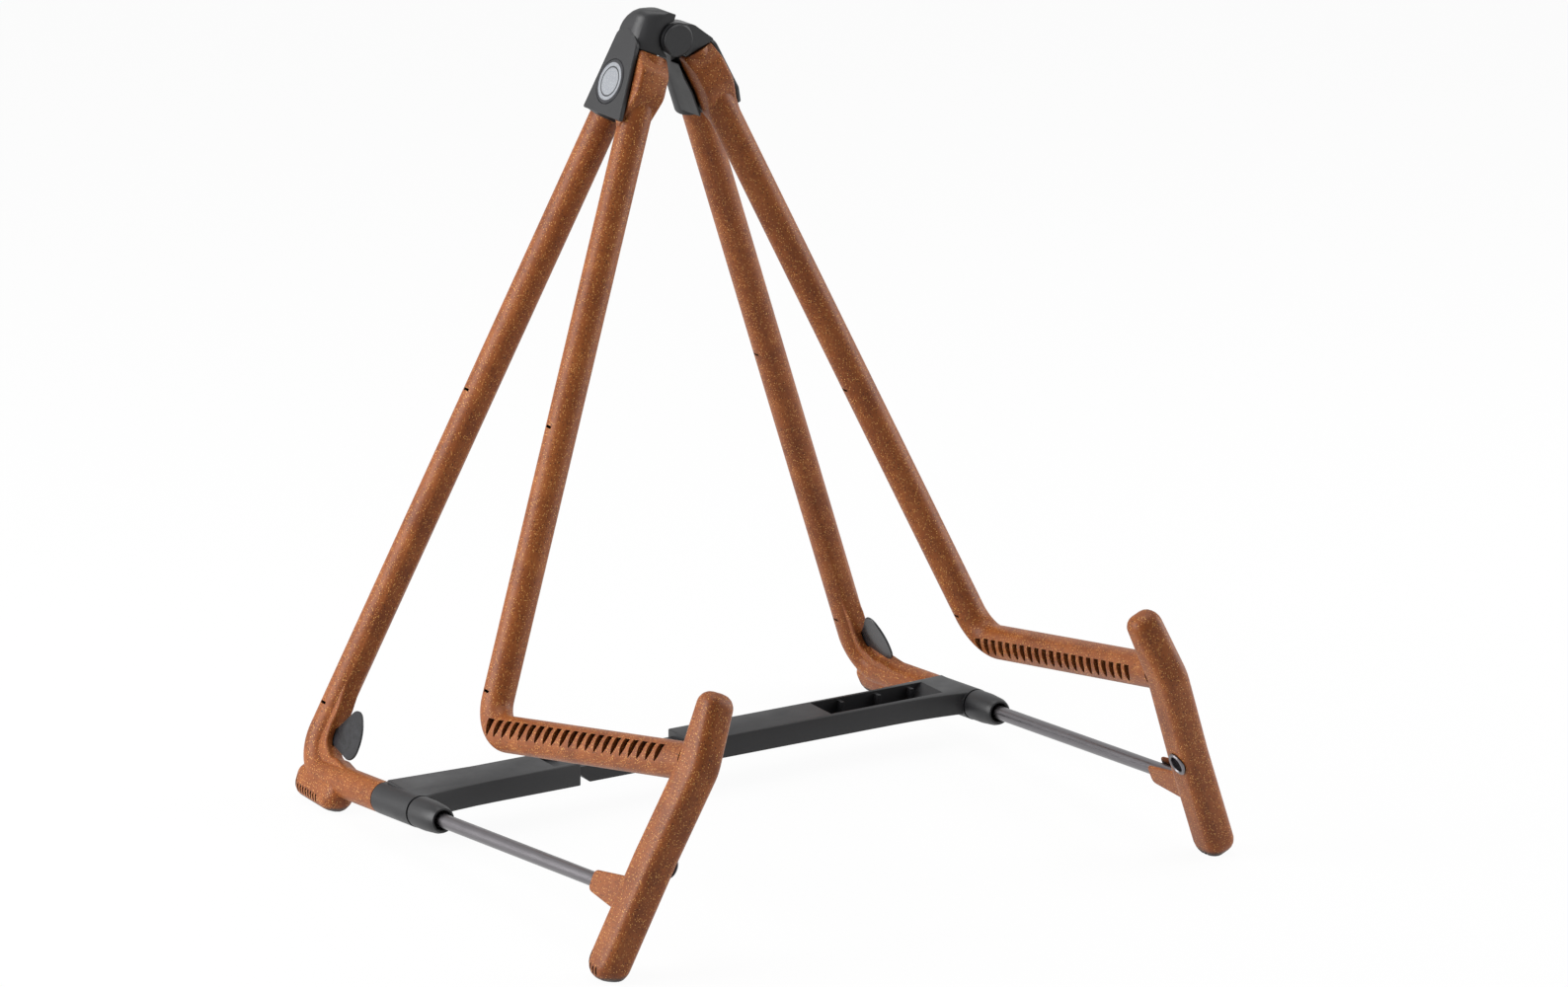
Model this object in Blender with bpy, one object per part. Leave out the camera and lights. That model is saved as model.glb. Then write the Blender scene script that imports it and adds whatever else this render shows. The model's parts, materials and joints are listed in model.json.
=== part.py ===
# Folding guitar stand: two leaning side frames in a cork compound, hinged at the head and
# held apart by a latching cross brace. Metres, +Z up, the player's side faces -Y.
import math
import bmesh
import bpy
from mathutils import Matrix, Vector

MM = 0.001

# Overall stance
FOOT_SPREAD = 307.6 * MM       # between the planes of the two side frames, at the floor
LEAN = math.radians(22.8)      # each side frame leans in from the vertical
TOE_OUT = math.radians(0.79)   # each side frame turns out towards the front
FIT = 0.3 * MM                 # clearance between pieces that touch
ROUND_SIDES = 14               # facets round a tube
DISC_SIDES = 20                # facets round a disc, cap or bore

# Frame tubes. In a side frame, y runs to the rear and s runs up along the leaning plane
TUBE_DIAMETER = 14.4 * MM
REAR_BEND_HEIGHT = 11.9 * MM
REAR_TILT = math.radians(9.76)
BEND_RADIUS = 15 * MM
FOOT_RISE = math.radians(5.28)
FRONT_BEND_FORWARD = 135.9 * MM
FRONT_BEND_HEIGHT = 68.7 * MM
TUBE_GAP_AT_HEAD = 19.0 * MM   # between the axes of the rear and the front tube
GAUGE_SLOT_WIDTH = 4.0 * MM
GAUGE_SLOT_HEIGHT = 1.2 * MM
REAR_SLOTS_UP = (31.9 * MM, 189.7 * MM)
FRONT_SLOTS_UP = (16.5 * MM, 133.9 * MM)

# Support arm and foot bar
ARM_RISE = math.radians(11.4)
ARM_HEIGHT = 16.4 * MM
LAMELLA_COUNT = 21
LAMELLA_PITCH = 6.72 * MM
LAMELLA_SLOT = 4.1 * MM
LAMELLA_START = 9.0 * MM       # first slot's centre in front of the bend
LAMELLA_SKIN = 3.0 * MM        # solid skin above the slots
LAMELLA_MOUTH = 4.2 * MM       # straight upper part of a slot
LAMELLA_TAIL = 5.8 * MM        # tapering lower part of a slot
BAR_FORWARD = 294.0 * MM       # centre of the bar's round top
BAR_TOP = 125.0 * MM
BAR_TOP_RADIUS = 7.3 * MM
BAR_WIDTH = 14.5 * MM
BAR_DEPTH = 18.5 * MM
BAR_EDGE = 4.6 * MM
BAR_REAR_EDGE = ((17.8 * MM, -7 * MM), (10.8 * MM, 56 * MM), (5.0 * MM, 100 * MM))
RIB_PITCH = 2.5 * MM
RIB_SLOT = 1.1 * MM
RIB_DEPTH = 0.9 * MM

# Rod between foot section and bar, and the lobe that cradles its front end
ROD_DIAMETER = 6.5 * MM
ROD_TRAVEL = 100 * MM          # the rod slides back this far as the front arm folds
ROD_REAR = 108 * MM
ROD_FRONT = 287 * MM
LOBE_FROM_BAR = 37.5 * MM      # lobe's tip behind the centre of the bar's top
LOBE_WIDTH = 9.2 * MM
LOBE_ROOT = 25.5 * MM          # length of the lobe's upper edge

# Journal of the foot section, brace sleeve and collar
JOURNAL_DIAMETER = 10.4 * MM
SLEEVE_REAR = 71 * MM
SLEEVE_LENGTH = 32.5 * MM
COLLAR_LENGTH = 20.2 * MM
COLLAR_FRONT_DIAMETER = 12.6 * MM
MOUTH_DEPTH = 5 * MM

# Rear foot under the bend, and the pick pocket in the inside of the bend
REAR_FOOT_WIDTH = 14.8 * MM
REAR_FOOT_LENGTH = 45 * MM
POCKET_WIDTH = 8.5 * MM
PICK_LENGTH = 30 * MM
PICK_WIDTH = 26 * MM
PICK_THICKNESS = 1.0 * MM
PICK_PLAY = 0.35 * MM
PICK_TIP = (-8.5 * MM, 28.7 * MM)
PICK_RISE = math.radians(19.4)

# Head
HINGE_INSET = 6.6 * MM         # hinge axis inside the plane of each side frame
HINGE_FRONT = 82 * MM
HINGE_REAR = 54 * MM
HINGE_SPLIT = 64.5 * MM
BARREL_DIAMETER = 15.4 * MM
HINGE_PIN_DIAMETER = 5 * MM
CLOSING_ROOM = math.radians(28)
HEAD_DROP = 41.8 * MM          # plates' lower edge under the hinge axis
ARM_TOP_DROP = 9.2 * MM        # front arm's top under the hinge axis
PIVOT_DROP = 26.9 * MM         # front arm's pivot under the hinge axis
PIVOT_SHARE = 0.43             # pivot's place between the front and the rear tube
PIVOT_PIN_DIAMETER = 6 * MM
EYE_DIAMETER = 16 * MM
EYE_PLAY = 0.6 * MM
PLATE_MARGIN = 4.3 * MM
PLATE_GAP = 8.3 * MM           # inner faces of the plates from the side plane
OUTER_PLATE = 2.2 * MM
INNER_PLATE = 1.7 * MM
SLEEVE_WALL = 2.6 * MM
BULB_OUTSIDE = 8.0 * MM
BULB_FORWARD = 10.0 * MM
BULB_EDGE = 1.9 * MM
BADGE_DIAMETER = 20.3 * MM
BADGE_SEAT = 0.8 * MM
WASHER_DIAMETER = 14 * MM

# Cross brace, in plan
BRACE_REAR = 75.5 * MM
BRACE_DEPTH = 23.3 * MM
BRACE_HEIGHT = 10.6 * MM
BRACE_ABOVE_AXIS = 7.6 * MM
BRACE_FLARE = 4.2 * MM
BRACE_FLARE_LENGTH = 42 * MM
BLOCK_END = 62 * MM            # left block ends this far left of the middle
SHOULDER = 14.5 * MM           # right part's full depth ends this far left of the middle
CHEEK = 2.6 * MM
TONGUE_LOWER = 2.8 * MM
LATCH_ANGLE = math.radians(40)
LATCH_PIN_DIAMETER = 3 * MM
LATCH_PIN_INSET = 1.8 * MM
LATCH_PIN_HEIGHT = 4.5 * MM
TONGUE_TIP = 8.5 * MM          # tongue's upper tip past the end of the left block
TONGUE_SWAY = 1.1 * MM         # play behind the tongue, which sways back as it lifts
TRAY_START = 72 * MM
TRAY_LENGTH = 61 * MM
TRAY_DEPTH = 8 * MM
TRAY_REAR_WALL = 2.2 * MM
TRAY_FRONT_WALL = 2.5 * MM
TRAY_RIB = 1.6 * MM
TRAY_RIBS_AT = (15 * MM, 35 * MM, 53 * MM)

# Screw bush in the inner face of the foot bar
BUSH_UP = 55 * MM
BUSH_FORWARD = 2 * MM
BUSH_FLANGE_DIAMETER = 13.7 * MM
BUSH_BODY_DIAMETER = 11 * MM
BUSH_BORE_DIAMETER = 8.7 * MM
BUSH_FLANGE = 0.8 * MM
BUSH_LENGTH = 3.2 * MM

TUBE_R = TUBE_DIAMETER / 2
ROD_R = ROD_DIAMETER / 2
BARREL_R = BARREL_DIAMETER / 2
HALF_SPREAD = FOOT_SPREAD / 2
SLEEVE_R = TUBE_R + SLEEVE_WALL
HEAD_FACE = PLATE_GAP + OUTER_PLATE
HINGE_HEIGHT = (HALF_SPREAD - HINGE_INSET / math.cos(LEAN)) / math.tan(LEAN)
HINGE_S = HINGE_HEIGHT * math.cos(LEAN) + HALF_SPREAD * math.sin(LEAN)
PIVOT_S = HINGE_S - PIVOT_DROP
ARM_TOP = HINGE_S - ARM_TOP_DROP
LEG_TOP = ARM_TOP - 3 * MM
HEAD_SHIFT = HALF_SPREAD * math.sin(TOE_OUT)   # the toe-out moves the heads forwards
JOURNAL_END = SLEEVE_REAR + SLEEVE_LENGTH + COLLAR_LENGTH - MOUTH_DEPTH
DOWN_REAR = -math.pi / 2 + REAR_TILT
FORWARD_FOOT = -math.pi - FOOT_RISE
FORWARD_ARM = -math.pi - ARM_RISE


def rear_axis(s):
    return -math.tan(REAR_TILT) * (s - REAR_BEND_HEIGHT)


FRONT_SLOPE = ((rear_axis(PIVOT_S) - TUBE_GAP_AT_HEAD + FRONT_BEND_FORWARD)
               / (PIVOT_S - FRONT_BEND_HEIGHT))
PIVOT_Y = rear_axis(PIVOT_S) - TUBE_GAP_AT_HEAD * PIVOT_SHARE


def front_axis(s):
    return -FRONT_BEND_FORWARD + FRONT_SLOPE * (s - FRONT_BEND_HEIGHT)


def foot_axis(y):
    return REAR_BEND_HEIGHT - y * math.tan(FOOT_RISE)


def arm_axis(y):
    return FRONT_BEND_HEIGHT - (y + FRONT_BEND_FORWARD) * math.tan(ARM_RISE)


def side_matrix(side):
    """Frame of a leaning side: x away from the middle on the right, z up in the plane."""
    place = Matrix.Translation((side * HALF_SPREAD, 0, 0))
    return place @ Matrix.Rotation(side * TOE_OUT, 4, "Z") @ Matrix.Rotation(-side * LEAN, 4, "Y")


def side_name(side):
    return "left" if side < 0 else "right"


def clear_scene():
    for obj in list(bpy.data.objects):
        bpy.data.objects.remove(obj, do_unlink=True)


def material(name, color, roughness, metallic=0.0):
    mat = bpy.data.materials.new(name)
    mat.use_nodes = True
    shader = mat.node_tree.nodes["Principled BSDF"]
    shader.inputs["Base Color"].default_value = (*color, 1)
    shader.inputs["Roughness"].default_value = roughness
    shader.inputs["Metallic"].default_value = metallic
    return mat


# Outlines in a plane

def rounded_outline(corners, step=math.radians(30)):
    """Points of a closed outline whose corners (u, v, radius) are turned into arcs."""
    points = []
    count = len(corners)
    for i, (u, v, radius) in enumerate(corners):
        here = Vector((u, v))
        before = Vector(corners[i - 1][:2]) - here
        after = Vector(corners[(i + 1) % count][:2]) - here
        room = 0.49 * min(before.length, after.length)
        before.normalize()
        after.normalize()
        half = before.angle(after) / 2
        radius = min(radius, room * math.tan(half))
        if radius <= 0.01 * MM:
            points.append(here)
            continue
        reach = radius / math.tan(half)
        centre = here + (before + after).normalized() * radius / math.sin(half)
        start = here + before * reach - centre
        sweep = math.pi - 2 * half
        turn = 1 if before.y * after.x - before.x * after.y > 0 else -1
        pieces = max(1, math.ceil(sweep / step))
        for k in range(pieces + 1):
            angle = turn * sweep * k / pieces
            points.append(centre + Vector((start.x * math.cos(angle) - start.y * math.sin(angle),
                                           start.x * math.sin(angle) + start.y * math.cos(angle))))
    return points


def counter_clockwise(points):
    total = 0
    for i, p in enumerate(points):
        q = points[(i + 1) % len(points)]
        total += p.x * q.y - q.x * p.y
    return list(points) if total > 0 else list(reversed(points))


def inset_outline(points, distance):
    """Each point of a counter-clockwise outline moved inwards along its mitre."""
    moved = []
    count = len(points)
    for i, p in enumerate(points):
        a = (p - points[i - 1]).normalized()
        b = (points[(i + 1) % count] - p).normalized()
        na = Vector((-a.y, a.x))
        nb = Vector((-b.y, b.x))
        moved.append(p + (na + nb) * distance / max(0.3, 1 + na.dot(nb)))
    return moved


# Bodies

def add_stack(bm, rings):
    """Closed body through rings of equal length, capped at both ends."""
    layers = [[bm.verts.new(p) for p in ring] for ring in rings]
    count = len(rings[0])
    for low, high in zip(layers, layers[1:]):
        for i in range(count):
            j = (i + 1) % count
            bm.faces.new((low[i], low[j], high[j], high[i]))
    bm.faces.new(list(reversed(layers[0])))
    bm.faces.new(layers[-1])


def add_slab(bm, outline, low, high, edge=0.0, steps=2):
    """Plate in the side plane from x=low to x=high, its edges rounded by a quarter turn."""
    points = counter_clockwise([Vector(p[:2]) for p in outline])
    levels = [(0.0, 0.0)]
    if edge > 0:
        turns = [math.pi / 2 * k / steps for k in range(steps + 1)]
        levels = [(edge * (1 - math.sin(t)), edge * (1 - math.cos(t))) for t in turns]
    rings = []
    for inset, rise in levels:
        rings.append([(low + rise, p.x, p.y) for p in inset_outline(points, inset)])
    for inset, rise in reversed(levels):
        rings.append([(high - rise, p.x, p.y) for p in inset_outline(points, inset)])
    add_stack(bm, rings)


def add_sweep(bm, stations):
    """Round body through stations (y, s, direction angle, radius across, radius in the plane)."""
    rings = []
    for y, s, angle, across, within in stations:
        ring = []
        for k in range(ROUND_SIDES):
            turn = 2 * math.pi * (k + 0.5) / ROUND_SIDES
            u = across * math.cos(turn)
            w = within * math.sin(turn)
            ring.append((u, y - w * math.sin(angle), s + w * math.cos(angle)))
        rings.append(ring)
    add_stack(bm, rings)


def bend_stations(corner, angle_in, angle_out, within_in, within_out, steps=6):
    """Stations round a bend between two directions given as angles in the (y, s) plane."""
    turn = angle_out - angle_in
    side = 1 if turn > 0 else -1
    reach = BEND_RADIUS * math.tan(abs(turn) / 2)
    start = Vector(corner) - Vector((math.cos(angle_in), math.sin(angle_in))) * reach
    centre = start + Vector((-math.sin(angle_in), math.cos(angle_in))) * BEND_RADIUS * side
    stations = []
    for k in range(steps + 1):
        angle = angle_in + turn * k / steps
        point = centre + Vector((math.sin(angle), -math.cos(angle))) * BEND_RADIUS * side
        within = within_in + (within_out - within_in) * k / steps
        stations.append((point.x, point.y, angle, TUBE_R, within))
    return stations


def turned_ring(radius, height, sides):
    ring = []
    for k in range(sides):
        turn = 2 * math.pi * k / sides
        ring.append((radius * math.cos(turn), radius * math.sin(turn), height))
    return ring


def add_turned(bm, profile, sides=ROUND_SIDES):
    """Solid body turned about the z axis, from (radius, height) pairs along its outside."""
    add_stack(bm, [turned_ring(radius, height, sides) for radius, height in profile])


def add_turned_ring(bm, profile, sides=ROUND_SIDES):
    """Ring-shaped body turned about the z axis from a closed (radius, height) outline."""
    layers = []
    for radius, height in profile:
        layers.append([bm.verts.new(p) for p in turned_ring(radius, height, sides)])
    for low, high in zip(layers, layers[1:] + layers[:1]):
        for i in range(sides):
            j = (i + 1) % sides
            bm.faces.new((low[i], low[j], high[j], high[i]))


def add_prism(bm, outline, low, high, axis):
    """Prism along y from an (x, z) outline, or along z from an (x, y) outline."""
    rings = []
    for level in (low, high):
        if axis == "Y":
            rings.append([(p[0], level, p[1]) for p in outline])
        else:
            rings.append([(p[0], p[1], level) for p in outline])
    add_stack(bm, rings)


def add_box(bm, low, high):
    outline = [(low[0], low[1]), (high[0], low[1]), (high[0], high[1]), (low[0], high[1])]
    add_prism(bm, outline, low[2], high[2], "Z")


def finish(name, bm, mat, matrix, side=1, smooth=True):
    """Object from a mesh drawn for the right side; side -1 mirrors it across x."""
    if side < 0:
        bmesh.ops.scale(bm, vec=(-1, 1, 1), verts=bm.verts)
    bmesh.ops.recalc_face_normals(bm, faces=bm.faces)
    mesh = bpy.data.meshes.new(name)
    bm.to_mesh(mesh)
    bm.free()
    if smooth:
        mesh.shade_smooth()
        mesh.set_sharp_from_angle(angle=math.radians(35))
    if mat:
        mesh.materials.append(mat)
    obj = bpy.data.objects.new(name, mesh)
    bpy.context.collection.objects.link(obj)
    obj.matrix_world = matrix
    return obj


def carry(obj, parent):
    """Parent an object, and the bodies that cut it, without moving them."""
    obj.parent = parent
    obj.matrix_parent_inverse = parent.matrix_basis.inverted()
    for modifier in obj.modifiers:
        if modifier.type == "BOOLEAN":
            carry(modifier.object, parent)


def combine(obj, bm, name, operation, matrix, side=1):
    """Cut a body from an object, or join it on; the body stays as a hidden wire guide."""
    tool = finish(f"tool_{name}", bm, None, matrix, side, smooth=False)
    tool.hide_render = True
    tool.display_type = "WIRE"
    modifier = obj.modifiers.new(name, "BOOLEAN")
    modifier.operation = operation
    modifier.solver = "EXACT"
    modifier.object = tool


def empty(name, matrix):
    obj = bpy.data.objects.new(name, None)
    bpy.context.collection.objects.link(obj)
    obj.matrix_world = matrix
    return obj


def along_y(y, x, z):
    """Matrix that lays a body turned about z along +y, its base at the point."""
    return Matrix.Translation((x, y, z)) @ Matrix.Rotation(-math.pi / 2, 4, "X")


def along_foot(y):
    """Side-frame matrix that points z forwards along the foot section."""
    return Matrix.Translation((0, y, foot_axis(y))) @ Matrix.Rotation(math.pi / 2 - FOOT_RISE, 4, "X")


def out_of_side(side, y, s):
    """World matrix at a point of a side plane, its z axis pointing away from the middle."""
    turn = Matrix.Rotation(side * math.pi / 2, 4, "Y")
    return side_matrix(side) @ Matrix.Translation((0, y, s)) @ turn


def into_side(side, y, s):
    """World matrix at a point of a side plane, its z axis pointing to the middle."""
    turn = Matrix.Rotation(-side * math.pi / 2, 4, "Y")
    return side_matrix(side) @ Matrix.Translation((0, y, s)) @ turn


def foot_length(y_from, y_to):
    return abs(y_to - y_from) / math.cos(FOOT_RISE)


def cut_floor(obj):
    """Level the feet: everything below z=0 goes."""
    bm = bmesh.new()
    add_box(bm, (-FOOT_SPREAD, -2 * BAR_FORWARD, -BAR_TOP), (FOOT_SPREAD, FOOT_SPREAD, 0))
    combine(obj, bm, "floor_" + obj.name, "DIFFERENCE", Matrix.Identity(4))


# Rear leg: rear tube, bend, foot section with its journal, ribbed foot and pick pocket

def pick_outline(grow=0.0):
    tip = Vector(PICK_TIP)
    along = Vector((-math.cos(PICK_RISE), math.sin(PICK_RISE)))
    across = Vector((-along.y, along.x))
    half = PICK_WIDTH / 2
    shape = ((0, 0, 3.4 * MM), (0.70 * PICK_LENGTH, -half, 8 * MM),
             (PICK_LENGTH, 0, 11 * MM), (0.70 * PICK_LENGTH, half, 8 * MM))
    corners = []
    for u, v, radius in shape:
        point = tip + along * u + across * v
        corners.append((point.x, point.y, radius))
    points = counter_clockwise(rounded_outline(corners))
    return inset_outline(points, -grow)


def add_gauge_slots(bm, axis, heights):
    """Narrow slots across a tube, each as a thin box along x."""
    for s in heights:
        y = axis(s)
        add_box(bm, (-TUBE_DIAMETER, y - GAUGE_SLOT_WIDTH / 2, s - GAUGE_SLOT_HEIGHT / 2),
                (TUBE_DIAMETER, y + GAUGE_SLOT_WIDTH / 2, s + GAUGE_SLOT_HEIGHT / 2))


def add_rib_grooves(bm, y_from, count, low, high, width):
    """Upright grooves on both faces of a foot."""
    for i in range(count):
        y = y_from - i * RIB_PITCH
        for face in (-1, 1):
            edges = sorted((face * (width / 2 - RIB_DEPTH), face * (width / 2 + RIB_DEPTH)))
            add_box(bm, (edges[0], y - RIB_SLOT / 2, low), (edges[1], y + RIB_SLOT / 2, high))


def cut_eye_room(obj, side):
    """Room round the pivot for the eye of the front arm."""
    bm = bmesh.new()
    radius = EYE_DIAMETER / 2 + EYE_PLAY
    add_turned(bm, [(radius, -PLATE_GAP), (radius, PLATE_GAP)], DISC_SIDES)
    place = out_of_side(side, PIVOT_Y, PIVOT_S)
    combine(obj, bm, "eye_room_" + obj.name, "DIFFERENCE", place)


def rear_leg(side, mat):
    frame = side_matrix(side)
    name = side_name(side)
    journal = JOURNAL_DIAMETER / 2
    stations = [(rear_axis(LEG_TOP), LEG_TOP, DOWN_REAR, TUBE_R, TUBE_R)]
    stations += bend_stations((0, REAR_BEND_HEIGHT), DOWN_REAR, FORWARD_FOOT, TUBE_R, TUBE_R)
    for y, radius in ((-SLEEVE_REAR, TUBE_R), (-SLEEVE_REAR, journal), (-JOURNAL_END, journal)):
        stations.append((y, foot_axis(y), FORWARD_FOOT, radius, radius))
    bm = bmesh.new()
    add_sweep(bm, stations)
    leg = finish(f"rear_leg_{name}", bm, mat, frame, side)

    foot = bmesh.new()
    rear = -REAR_FOOT_LENGTH
    middle = foot_axis(rear)
    outline = rounded_outline([(1.5 * MM, middle, 3 * MM), (-0.5 * MM, -7 * MM, 3 * MM),
                               (rear + 3 * MM, -7 * MM, 4 * MM), (rear, middle, 2 * MM)])
    add_slab(foot, outline, -REAR_FOOT_WIDTH / 2, REAR_FOOT_WIDTH / 2, 1.4 * MM)
    combine(leg, foot, f"rear_foot_{name}", "UNION", frame, side)

    web = bmesh.new()
    lip = TUBE_R + 2 * MM
    outline = [(rear_axis(54 * MM), 54 * MM, 2 * MM),
               (rear_axis(52 * MM) - lip, 52 * MM, 2 * MM),
               (rear_axis(40 * MM) - lip, 40 * MM, 8 * MM),
               (-13.5 * MM, 28 * MM, 7 * MM),
               (-21 * MM, foot_axis(-21 * MM) + lip, 7 * MM),
               (-31 * MM, foot_axis(-31 * MM) + lip, 2 * MM),
               (-33 * MM, foot_axis(-33 * MM), 2 * MM),
               (-8 * MM, 17 * MM, 2 * MM)]
    add_slab(web, rounded_outline(outline), -POCKET_WIDTH / 2, POCKET_WIDTH / 2, 1.2 * MM)
    combine(leg, web, f"pick_pocket_{name}", "UNION", frame, side)

    slot = bmesh.new()
    half = PICK_THICKNESS / 2 + PICK_PLAY
    add_slab(slot, pick_outline(PICK_PLAY), -half, half)
    combine(leg, slot, f"pick_slot_{name}", "DIFFERENCE", frame, side)

    cuts = bmesh.new()
    add_gauge_slots(cuts, rear_axis, [REAR_BEND_HEIGHT + up for up in REAR_SLOTS_UP])
    add_rib_grooves(cuts, -5 * MM, 9, -7 * MM, 5 * MM, REAR_FOOT_WIDTH)
    combine(leg, cuts, f"leg_cuts_{name}", "DIFFERENCE", frame, side)

    bore = bmesh.new()
    start = -ROD_REAR + ROD_TRAVEL + 3 * MM
    radius = ROD_R + FIT
    add_turned(bore, [(radius, 0), (radius, foot_length(start, -JOURNAL_END) + 5 * MM)])
    combine(leg, bore, f"rod_bore_{name}", "DIFFERENCE", frame @ along_foot(start))
    cut_eye_room(leg, side)
    cut_floor(leg)
    return leg


# Front arm: eye, front tube, bend, support arm with its row of lamella slots, and foot bar

def add_lamella_slot(bm, distance):
    """One slot: a straight mouth under the skin, and a tail that narrows and hooks back."""
    base = Vector((-FRONT_BEND_FORWARD, FRONT_BEND_HEIGHT))
    along = Vector((-math.cos(ARM_RISE), math.sin(ARM_RISE)))
    up = Vector((math.sin(ARM_RISE), math.cos(ARM_RISE)))
    top = ARM_HEIGHT / 2 - LAMELLA_SKIN
    knee = top - LAMELLA_MOUTH
    half = LAMELLA_SLOT / 2
    shape = ((half, top), (-half, top), (-half, knee), (-0.10 * half, knee - LAMELLA_TAIL),
             (0.30 * half, knee - LAMELLA_TAIL), (half, knee))
    points = [base + along * (distance + u) + up * v for u, v in shape]
    add_slab(bm, points, -TUBE_DIAMETER, TUBE_DIAMETER)


def bar_outline():
    corners = [(-BAR_FORWARD + y, s, 12 * MM) for y, s in BAR_REAR_EDGE]
    corners[0] = (*corners[0][:2], 6 * MM)
    high = BAR_TOP + BAR_TOP_RADIUS
    corners.append((-BAR_FORWARD + BAR_TOP_RADIUS, high, BAR_TOP_RADIUS - 0.1 * MM))
    corners.append((-BAR_FORWARD - BAR_TOP_RADIUS, high, BAR_TOP_RADIUS - 0.1 * MM))
    for y, s in reversed(BAR_REAR_EDGE):
        corners.append((-BAR_FORWARD + y - BAR_DEPTH, s, 20 * MM))
    corners[-1] = (*corners[-1][:2], 6 * MM)
    return rounded_outline(corners)


def rod_way_outline():
    """Way of the rod's front end up the back of the bar while the arm folds."""
    lobe = -BAR_FORWARD + LOBE_FROM_BAR
    front = -ROD_FRONT - 4 * MM
    low = ROD_R + FIT
    under_arm = arm_axis(front) - ARM_HEIGHT / 2 - 2.2 * MM
    return [(lobe + 8 * MM, foot_axis(lobe + 8 * MM) - low), (front, foot_axis(front) - low),
            (front, under_arm), (front + 6 * MM, under_arm - 1 * MM),
            (lobe + 8 * MM, under_arm - 16 * MM)]


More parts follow.
